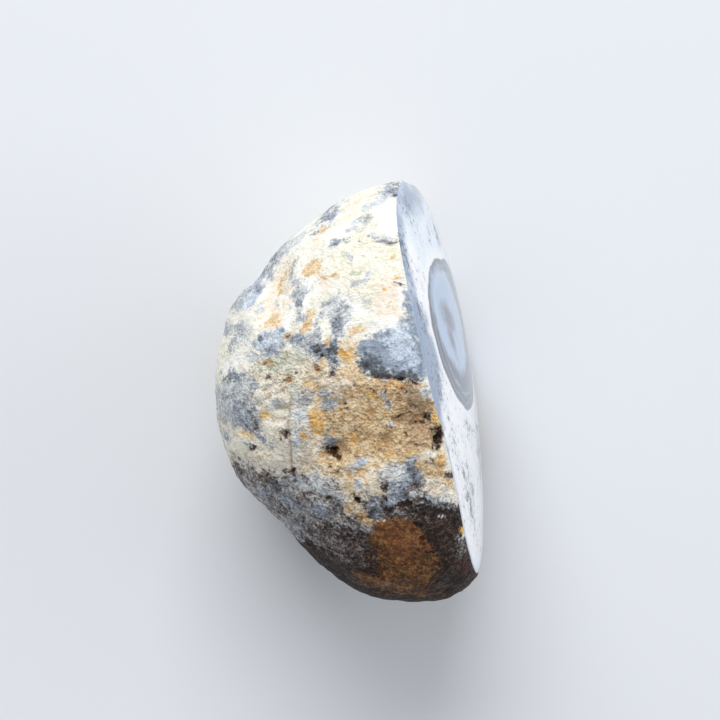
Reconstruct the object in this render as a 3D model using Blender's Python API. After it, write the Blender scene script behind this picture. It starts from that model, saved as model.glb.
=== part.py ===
"""Dendritic opal: half of a weathered nodule, with one gently domed and polished face.

The stone lies on a flat of its rind. Its long axis is along Y, and the polished face looks toward +X.
The shape is a radius from a middle point in every direction: the rind, with its lumps and hollows, is cut
by the shallow dome of the polished face and by the flat that the stone rests on.
"""

import math
from dataclasses import dataclass

import bmesh
import bpy
from mathutils import Vector, noise

MM = 0.001

# Rind, in millimetres: its middle, and the outline seen from above, clockwise from the upper tip
MIDDLE = Vector((2.0, -1.0, 20.5))
TOP_HEIGHT = 16.5
LOWER_DEPTH = 22.6
TOP_FULLNESS = 2.0
LOWER_FULLNESS = 2.9
RIND_OUTLINE = (
    (7.6, 26.7), (10.6, 25.6), (16.6, 21.0), (21.2, 13.0), (23.9, 4.0), (20.3, -6.0), (18.4, -16.0),
    (16.7, -23.0), (12.7, -26.5), (7.0, -26.8), (1.9, -25.9), (-3.8, -22.2), (-8.8, -16.7), (-13.9, -11.7),
    (-16.4, -6.0), (-17.1, -0.6), (-16.7, 5.1), (-14.9, 10.8), (-11.6, 14.4), (-8.8, 17.9), (-3.8, 22.2),
    (1.3, 25.2),
)
CURVE_STEPS = 12

# Polished face: a shallow dome, its slopes toward the upper tip and upward, how it bends along Y and Z,
# how much one bend turns into the other, and its softened edge
FACE_POINT = Vector((15.1, 0.0, 17.0))
FACE_SLOPE_Y = 0.17
FACE_SLOPE_Z = 0.19
FACE_RADIUS_Y = 141.0
FACE_RADIUS_Z = 112.0
FACE_TWIST = 0.0025
RIM_ROUND = 0.8

# Flat that the stone rests on
FLAT_ROUND = 0.8

# Lumps of the rind: wavelength and height, lower near the outline and near the rim
LUMPS = ((12.0, 0.75), (4.6, 0.36))
LUMP_SHARE_AT_OUTLINE = 0.3
LUMP_SHARE_AT_RIM = 0.35
RIM_REACH = 3.5

# Mesh: meridians, rings of the polished face and rings of the rind
MERIDIANS = 88
FACE_RINGS = 9
RIND_RINGS = 34
RIM_SEARCH_STEPS = 30
OUT_OF_REACH = 1000.0


@dataclass(frozen=True)
class Hollow:
    """A scoop in the rind: its middle and long direction, half length, half width and depth in millimetres."""

    middle: tuple
    along: tuple
    half_length: float
    half_width: float
    depth: float

    def depth_at(self, point):
        """Return how far the rind is lowered at a point."""
        offset = point - Vector(self.middle)
        lengthwise = offset.dot(Vector(self.along).normalized())
        crosswise = math.sqrt(max(offset.length_squared - lengthwise ** 2, 0.0))
        reach = math.hypot(lengthwise / self.half_length, crosswise / self.half_width)
        return self.depth * (1.0 - smooth_step(0.45, 1.15, reach))


HOLLOWS = (
    # Scooped channel at the upper left, and the step in the outline above it
    Hollow((-9.3, 12.0, 29.8), (0.35, 1.0, -0.25), 5.6, 1.9, 0.75),
    Hollow((-11.9, 14.2, 22.5), (0.3, 0.2, 1.0), 4.0, 1.5, 0.45),
    # Ochre field under the ledge of the grey-blue patch, and the hollow at its right end
    Hollow((1.8, -4.6, 36.9), (1.0, -0.1, 0.0), 8.2, 5.8, 0.65),
    Hollow((8.4, -2.6, 35.6), (0.3, 1.0, 0.0), 2.6, 1.8, 0.55),
    Hollow((10.6, -5.6, 34.4), (0.2, 1.0, 0.0), 2.0, 1.2, 0.6),
    # Deep pit in the middle, and the ochre scoop to its left
    Hollow((-2.1, -7.8, 35.8), (1.0, 0.5, 0.0), 2.0, 1.5, 1.1),
    Hollow((-9.0, -2.8, 34.2), (1.0, 0.6, 0.0), 2.2, 1.5, 0.5),
    # Brown field near the lower end
    Hollow((5.4, -19.6, 32.1), (0.4, 1.0, 0.0), 5.0, 4.2, 0.6),
    # Long shallow facet along the lower left
    Hollow((-8.6, -14.6, 27.0), (0.6, -0.7, 0.2), 9.0, 5.0, 0.5),
    # Sides that are out of sight: two scoops and a step
    Hollow((-13.5, 4.0, 10.0), (0.1, 1.0, 0.2), 6.5, 3.6, 0.8),
    Hollow((-2.0, -23.0, 13.0), (1.0, -0.3, 0.4), 6.0, 3.2, 0.9),
    Hollow((2.0, 23.5, 12.0), (1.0, 0.3, -0.3), 5.5, 3.0, 0.8),
)


def smooth_step(low, high, value):
    """Return 0 below low, 1 above high and a smooth rise between them."""
    share = min(max((value - low) / (high - low), 0.0), 1.0)
    return share * share * (3.0 - 2.0 * share)


def rounded_minimum(first, second, width):
    """Return the smaller value, blended where the two are within a width of each other."""
    overlap = max(width - abs(first - second), 0.0) / width
    return min(first, second) - overlap * overlap * width / 4.0


def outline_radii():
    """Return the rind's outline as sorted pairs of angle and radius round the middle point."""
    pairs = []
    count = len(RIND_OUTLINE)
    for index in range(count):
        before, start, end, after = (Vector(RIND_OUTLINE[(index + shift) % count]) for shift in (-1, 0, 1, 2))
        for step in range(CURVE_STEPS):
            t = step / CURVE_STEPS
            point = 0.5 * (
                2.0 * start
                + (end - before) * t
                + (2.0 * before - 5.0 * start + 4.0 * end - after) * t ** 2
                + (3.0 * start - before - 3.0 * end + after) * t ** 3
            )
            spoke = point - MIDDLE.xy
            pairs.append((math.atan2(spoke.y, spoke.x), spoke.length))
    return sorted(pairs)


class Stone:
    """The stone's surface as a distance from its middle point in every direction."""

    def __init__(self):
        self.outline = outline_radii()
        self.face_normal = Vector((1.0, FACE_SLOPE_Y, FACE_SLOPE_Z))
        self.face_axis = self.face_normal.normalized()
        self.spoke = MIDDLE - FACE_POINT

    def outline_radius(self, angle):
        """Return the outline's radius at an angle, between its two nearest points."""
        previous = self.outline[-1]
        before = (previous[0] - math.tau, previous[1])
        for pair in self.outline:
            if pair[0] >= angle:
                break
            before = pair
        else:
            pair = (self.outline[0][0] + math.tau, self.outline[0][1])
        share = (angle - before[0]) / max(pair[0] - before[0], 1e-9)
        return before[1] + (pair[1] - before[1]) * share

    def plain_rind(self, direction):
        """Return the distance to the rind without its lumps and hollows."""
        radius = self.outline_radius(math.atan2(direction.y, direction.x))
        upward = direction.z > 0.0
        height = TOP_HEIGHT if upward else LOWER_DEPTH
        fullness = TOP_FULLNESS if upward else LOWER_FULLNESS
        level = math.hypot(direction.x, direction.y) / radius
        rise = abs(direction.z) / height
        return (level ** fullness + rise ** fullness) ** (-1.0 / fullness)

    def bend(self, first, second):
        """Return how far the polished dome drops for two offsets from its middle."""
        twist = FACE_TWIST * (first.y * second.z + first.z * second.y)
        return first.y * second.y / FACE_RADIUS_Y + first.z * second.z / FACE_RADIUS_Z + twist

    def face(self, direction):
        """Return the distance to the dome of the polished face, or a large one where it isn't met."""
        square = self.bend(direction, direction) / 2.0
        slope = direction.dot(self.face_normal) + self.bend(direction, self.spoke)
        depth = -(self.spoke.dot(self.face_normal) + self.bend(self.spoke, self.spoke) / 2.0)
        root = slope * slope + 4.0 * square * depth
        if root < 0.0 or slope + math.sqrt(root) <= 0.0:
            return OUT_OF_REACH
        return 2.0 * depth / (slope + math.sqrt(root))

    def rind(self, direction):
        """Return the distance to the rind with its lumps and hollows."""
        distance = self.plain_rind(direction)
        point = MIDDLE + direction * distance
        above_outline = smooth_step(0.08, 0.5, abs(direction.z))
        inside_rim = smooth_step(0.0, RIM_REACH, self.face(direction) - distance)
        share = LUMP_SHARE_AT_OUTLINE + (1.0 - LUMP_SHARE_AT_OUTLINE) * above_outline
        share *= LUMP_SHARE_AT_RIM + (1.0 - LUMP_SHARE_AT_RIM) * inside_rim
        for wavelength, height in LUMPS:
            distance += share * height * noise.noise(point / wavelength)
        for hollow in HOLLOWS:
            distance -= hollow.depth_at(point)
        return distance

    def flat(self, direction):
        """Return the distance to the flat that the stone rests on, or a large one above it."""
        if direction.z > -1e-3:
            return OUT_OF_REACH
        return -MIDDLE.z / direction.z

    def point(self, direction):
        """Return the surface point in a direction, in millimetres."""
        rind = self.rind(direction)
        body = rounded_minimum(rind, self.face(direction), RIM_ROUND)
        flat = self.flat(direction)
        point = MIDDLE + direction * rounded_minimum(body, flat, FLAT_ROUND)
        if flat <= body - FLAT_ROUND:
            point.z = 0.0
        return point

    def rim_angle(self, sideways):
        """Return the angle between the face's axis and the rim on one meridian."""
        inner = 0.2
        outer = 2.4
        for _ in range(RIM_SEARCH_STEPS):
            middle = (inner + outer) / 2.0
            direction = self.turned(middle, sideways)
            if self.face(direction) < self.rind(direction):
                inner = middle
            else:
                outer = middle
        return (inner + outer) / 2.0

    def turned(self, angle, sideways):
        """Return the direction at an angle from the face's axis toward a sideways direction."""
        return self.face_axis * math.cos(angle) + sideways * math.sin(angle)


def stone_mesh(stone):
    """Return the stone's mesh: a sphere of rings round the polished face's axis, one of them on the rim."""
    across = stone.face_axis.cross(Vector((0.0, 0.0, 1.0))).normalized()
    upright = stone.face_axis.cross(across)
    rings = FACE_RINGS + RIND_RINGS
    rim_share = FACE_RINGS / rings
    shape = bmesh.new()
    bmesh.ops.create_uvsphere(shape, u_segments=MERIDIANS, v_segments=rings, radius=1.0)
    rims = {}
    for vertex in shape.verts:
        polar = math.acos(min(max(vertex.co.z, -1.0), 1.0)) / math.pi
        meridian = round(math.atan2(vertex.co.y, vertex.co.x) / math.tau * MERIDIANS) % MERIDIANS
        angle = meridian * math.tau / MERIDIANS
        sideways = across * math.cos(angle) + upright * math.sin(angle)
        if meridian not in rims:
            rims[meridian] = stone.rim_angle(sideways)
        rim = rims[meridian]
        if polar <= rim_share:
            turn = rim * polar / rim_share
        else:
            turn = rim + (math.pi - rim) * (polar - rim_share) / (1.0 - rim_share)
        vertex.co = stone.point(stone.turned(turn, sideways)) * MM
    mesh = bpy.data.meshes.new("opal")
    shape.to_mesh(mesh)
    shape.free()
    mesh.shade_smooth()
    return mesh


def opal_material():
    """Return the stone's material: grey-cream rind, seen as one middle colour."""
    material = bpy.data.materials.new("opal")
    material.use_nodes = True
    shader = material.node_tree.nodes["Principled BSDF"]
    shader.inputs["Base Color"].default_value = (0.42, 0.38, 0.32, 1.0)
    shader.inputs["Roughness"].default_value = 0.6
    shader.inputs["Metallic"].default_value = 0.0
    return material


def main():
    """Build the stone in an empty scene."""
    for old in list(bpy.data.objects):
        bpy.data.objects.remove(old, do_unlink=True)
    collection = bpy.data.collections.new("dendritic_opal")
    bpy.context.scene.collection.children.link(collection)
    mesh = stone_mesh(Stone())
    mesh.materials.append(opal_material())
    collection.objects.link(bpy.data.objects.new("opal", mesh))


main()
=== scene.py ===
"""Dendritic opal, half rough rind and half polished, lying on a pale studio floor.

The stone is modelled as a distance from its middle in every direction, as its solid is, with the grain, pits
and grooves of the rind added. Its markings are stains that the code lays over the surface, together with
painted shade in the rind's pits and grooves, along the polished face's rim and under a ledge, and their
colours, grain and gloss come from node materials.
"""

import logging
import math
import random
from dataclasses import dataclass
from enum import Enum
from typing import Optional, Sequence, Union

import bmesh
import bpy
import numpy as np
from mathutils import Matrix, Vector, noise


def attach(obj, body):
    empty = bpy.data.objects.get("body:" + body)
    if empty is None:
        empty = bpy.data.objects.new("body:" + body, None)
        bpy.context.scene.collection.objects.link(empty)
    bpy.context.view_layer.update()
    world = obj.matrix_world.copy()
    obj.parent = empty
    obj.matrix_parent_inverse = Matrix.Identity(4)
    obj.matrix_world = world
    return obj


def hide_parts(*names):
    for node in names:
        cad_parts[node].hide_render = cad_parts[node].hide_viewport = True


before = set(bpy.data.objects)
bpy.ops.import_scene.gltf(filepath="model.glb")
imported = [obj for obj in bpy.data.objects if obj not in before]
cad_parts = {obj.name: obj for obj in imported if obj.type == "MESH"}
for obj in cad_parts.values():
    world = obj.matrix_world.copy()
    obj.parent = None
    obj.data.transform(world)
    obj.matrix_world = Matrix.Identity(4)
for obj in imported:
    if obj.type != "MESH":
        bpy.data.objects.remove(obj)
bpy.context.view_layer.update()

LOG = logging.getLogger("dendritic_opal")

MM = 0.001
STONE_NODE = "opal"

# The eye point above the stone, in millimetres, and how many picture columns a millimetre takes there
EYE = (1.3, 3.8, 275.5)
PICTURE_CENTRE = 360.0
PICTURE_SCALE = 2000.0
PICTURE_MM = 8.35
# The half size in picture columns below which a patch's edge is made steeper
LEAST_PATCH = 8.0
# How far the noise is moved between the axes that it moves a point along
AXIS_SHIFT = 17.0
# The middle of a Noise node's output
NOISE_MEAN = 0.5

Array = np.ndarray
Pair = tuple[float, float]
Triple = tuple[float, float, float]
Colour = Triple


def smooth_step(low: float, high: float, value: Array) -> Array:
    """Return 0 below low, 1 above high and a smooth rise between them.

    Args:
        low: Where the rise starts.
        high: Where the rise ends.
        value: The values to place on the rise.

    Returns:
        The share of the rise at each value.
    """
    share = np.clip((value - low) / (high - low), 0.0, 1.0)
    return share * share * (3.0 - 2.0 * share)


def rounded_minimum(first: Array, second: Array, width: float) -> Array:
    """Return the smaller values, blended where the two are within a width of each other.

    Args:
        first: One set of distances.
        second: The other set of distances.
        width: The width of the blend.

    Returns:
        The blended distances.
    """
    overlap = np.clip(width - np.abs(first - second), 0.0, None) / width
    return np.minimum(first, second) - overlap * overlap * width / 4.0


def waves(points: Array, wavelength: float, shift: float = 0.0) -> Array:
    """Return smooth noise at each point.

    Args:
        points: Points in millimetres.
        wavelength: The distance between the noise's lumps in millimetres.
        shift: Moves the noise, so that two uses differ.

    Returns:
        Noise from about -0.6 to 0.6.
    """
    places = (points / wavelength + shift).tolist()
    return np.array([noise.noise(place) for place in places])


def paint(red: int, green: int, blue: int) -> Colour:
    """Return a display colour of 0 to 255 as the linear colour that a shader takes."""
    shares = (channel / 255.0 for channel in (red, green, blue))
    return tuple(s / 12.92 if s <= 0.04045 else ((s + 0.055) / 1.055) ** 2.4 for s in shares)


def picture_places(points: Array) -> tuple[Array, Array]:
    """Return where points are seen from the eye point, in picture columns and rows.

    Args:
        points: Points in millimetres.

    Returns:
        The columns and the rows.
    """
    reach = PICTURE_SCALE / (EYE[2] - points[:, 2])
    columns = PICTURE_CENTRE + (points[:, 0] - EYE[0]) * reach
    rows = PICTURE_CENTRE - (points[:, 1] - EYE[1]) * reach
    return columns, rows


def ellipse_inside(across: Array, up: Array, half_width: float, half_height: float, turn: float) -> Array:
    """Return about how far inside an ellipse each place is.

    Args:
        across: Offsets from the ellipse's middle along the first axis.
        up: Offsets along the second axis.
        half_width: Half the ellipse's size along the first axis, before it is turned.
        half_height: Half its size along the second axis.
        turn: Its turn in degrees, from the first axis toward the second.

    Returns:
        The distance from the ellipse's edge, negative outside.
    """
    angle = math.radians(turn)
    along = across * math.cos(angle) + up * math.sin(angle)
    beside = up * math.cos(angle) - across * math.sin(angle)
    reach = np.hypot(along / half_width, beside / half_height)
    return (1.0 - reach) * min(half_width, half_height)


def moved(points: Array, warp: tuple[Pair, ...]) -> Array:
    """Return the points moved by noise, which makes a patch's shape irregular.

    Args:
        points: Points in millimetres.
        warp: The noise's wavelengths and how far each moves a point.

    Returns:
        The moved points.
    """
    result = points.copy()
    for wavelength, reach in warp:
        for axis in range(3):
            result[:, axis] += reach * waves(points, wavelength, AXIS_SHIFT * (axis + 1))
    return result


def laid(
    patches: Sequence[tuple[Enum, Array]], kinds: type[Enum], count: int, far: float, overlap: float
) -> dict[Enum, Array]:
    """Return the fields of patches that are laid one over the other.

    The kinds are mixed in their own order, so a patch cuts only the kinds after its own, and reaches a little
    under what is left of them.

    Args:
        patches: Each patch's kind and how far inside it the points are.
        kinds: All the kinds, first the one that lies where there is no patch.
        count: How many points there are.
        far: The field's value far from any edge.
        overlap: How far a patch reaches under the later kinds round it.

    Returns:
        A field for each kind, positive where that kind lies unless a later one lies there too.
    """
    order = list(kinds)
    fields = {kind: np.full(count, -far) for kind in order}
    fields[order[0]] = np.full(count, far)
    for kind, inside in patches:
        later = order[order.index(kind) + 1:]
        cover = np.max([fields[other] for other in later] + [np.full(count, -far)], axis=0)
        under = overlap * smooth_step(-overlap, overlap, cover)
        fields[kind] = np.maximum(fields[kind], inside + under)
        for other in later:
            fields[other] = np.minimum(fields[other], -inside)
    return fields


class Zone(Enum):
    """The kinds of ground that the rind shows: the plain one, and then the first laid to the last. The ledge's
    dark band is painted shadow under its step.
    """

    CREAM = "cream"
    SHALE = "shale"
    WHITE = "white"
    STRAW = "straw"
    PEACH = "peach"
    TAN = "tan"
    CHALK = "chalk"
    SAND = "sand"
    PUTTY = "putty"
    OLIVE = "olive"
    PEARL = "pearl"
    MIST = "mist"
    SKY = "sky"
    SLATE = "slate"
    DUSK = "dusk"
    GRIT = "grit"
    OCHRE = "ochre"
    UMBER = "umber"
    ORANGE = "orange"
    STEEL = "steel"
    # Painted shadow under the ledge's step
    LEDGE_SHADOW = "soot"
    GRAPHITE = "graphite"
    BROWN = "brown"
    RUST = "rust"
    BLACK = "black"
    MAROON = "maroon"

    @property
    def number(self) -> str:
        """Return the name of the number that the mesh keeps for this ground."""
        return f"ground_{self.value}"


class Family(Enum):
    """Grounds whose borders run together, with the shift of the noise that makes them ragged."""

    PALE = 3.0
    EARTH = 11.0
    DARK = 23.0


@dataclass(frozen=True)
class Ground:
    """The finish of one kind of ground: its tone, its dark and light grains and how coarse it is. The dark
    grains are partly real speckle and partly painted shade, and the light grains partly painted light.
    """

    tone: Colour
    dark: Colour
    light: Colour
    coarse: float
    family: Family


GROUNDS = {
    Zone.CREAM: Ground(paint(239, 237, 225), paint(225, 222, 207), paint(248, 246, 238), 0.3, Family.PALE),
    Zone.SHALE: Ground(paint(98, 94, 93), paint(56, 50, 49), paint(150, 147, 146), 0.7, Family.DARK),
    Zone.WHITE: Ground(paint(245, 244, 240), paint(237, 235, 228), paint(251, 250, 247), 0.1, Family.PALE),
    Zone.STRAW: Ground(paint(241, 238, 221), paint(228, 222, 197), paint(249, 247, 236), 0.4, Family.PALE),
    Zone.PEACH: Ground(paint(245, 232, 215), paint(232, 214, 193), paint(250, 244, 232), 0.3, Family.EARTH),
    Zone.TAN: Ground(paint(230, 204, 163), paint(204, 170, 126), paint(242, 225, 196), 0.5, Family.EARTH),
    Zone.CHALK: Ground(paint(244, 238, 223), paint(224, 215, 197), paint(252, 249, 240), 0.85, Family.PALE),
    Zone.SAND: Ground(paint(236, 225, 203), paint(207, 190, 164), paint(251, 245, 229), 0.9, Family.PALE),
    Zone.PUTTY: Ground(paint(230, 223, 208), paint(203, 195, 178), paint(243, 238, 226), 0.4, Family.PALE),
    Zone.OLIVE: Ground(paint(220, 221, 204), paint(194, 195, 175), paint(236, 238, 224), 0.55, Family.EARTH),
    Zone.PEARL: Ground(paint(210, 214, 215), paint(176, 181, 186), paint(234, 236, 236), 0.45, Family.DARK),
    Zone.MIST: Ground(paint(184, 189, 193), paint(150, 156, 162), paint(216, 220, 222), 0.6, Family.DARK),
    Zone.SKY: Ground(paint(194, 206, 221), paint(158, 169, 188), paint(222, 232, 243), 0.3, Family.DARK),
    Zone.SLATE: Ground(paint(145, 154, 166), paint(109, 117, 129), paint(184, 192, 201), 0.65, Family.DARK),
    Zone.DUSK: Ground(paint(148, 160, 176), paint(126, 138, 153), paint(174, 186, 200), 0.15, Family.DARK),
    Zone.GRIT: Ground(paint(148, 146, 148), paint(86, 83, 85), paint(208, 207, 206), 0.95, Family.DARK),
    Zone.OCHRE: Ground(paint(216, 187, 145), paint(187, 156, 114), paint(236, 215, 178), 1.0, Family.EARTH),
    Zone.UMBER: Ground(paint(192, 165, 132), paint(164, 135, 101), paint(212, 187, 154), 0.75, Family.EARTH),
    Zone.ORANGE: Ground(paint(234, 190, 118), paint(214, 163, 90), paint(243, 211, 156), 0.6, Family.EARTH),
    Zone.STEEL: Ground(paint(104, 109, 117), paint(67, 70, 78), paint(147, 152, 159), 0.5, Family.DARK),
    # Painted shadow under the ledge's step:
    Zone.LEDGE_SHADOW: Ground(paint(100, 105, 113), paint(80, 84, 92), paint(126, 131, 141), 0.15, Family.DARK),
    Zone.GRAPHITE: Ground(paint(94, 85, 83), paint(52, 43, 41), paint(152, 145, 143), 0.75, Family.DARK),
    Zone.BROWN: Ground(paint(108, 72, 39), paint(74, 49, 31), paint(148, 108, 66), 0.8, Family.EARTH),
    Zone.RUST: Ground(paint(144, 92, 53), paint(108, 69, 40), paint(172, 124, 78), 0.6, Family.EARTH),
    Zone.BLACK: Ground(paint(47, 34, 28), paint(25, 17, 14), paint(84, 69, 61), 0.65, Family.DARK),
    Zone.MAROON: Ground(paint(64, 36, 29), paint(42, 23, 19), paint(90, 65, 57), 0.3, Family.DARK),
}


@dataclass(frozen=True)
class Stain:
    """One patch of ground on the side that faces the eye point, placed in picture columns and rows.

    The turn is in degrees, clockwise as the picture shows it, and a firmer edge is less ragged.
    """

    zone: Zone
    column: float
    row: float
    half_width: float
    half_height: float
    turn: float = 0.0
    firm: float = 1.0

    def inside(self, columns: Array, rows: Array) -> Array:
        """Return about how far inside the patch each place is, more steeply for a small patch.

        Args:
            columns: Picture columns.
            rows: Picture rows.

        Returns:
            The distance from the patch's edge in picture columns, negative outside.
        """
        right = columns - self.column
        down = rows - self.row
        inside = ellipse_inside(right, down, self.half_width, self.half_height, self.turn)
        return inside * max(self.firm, LEAST_PATCH / min(self.half_width, self.half_height))


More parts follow.
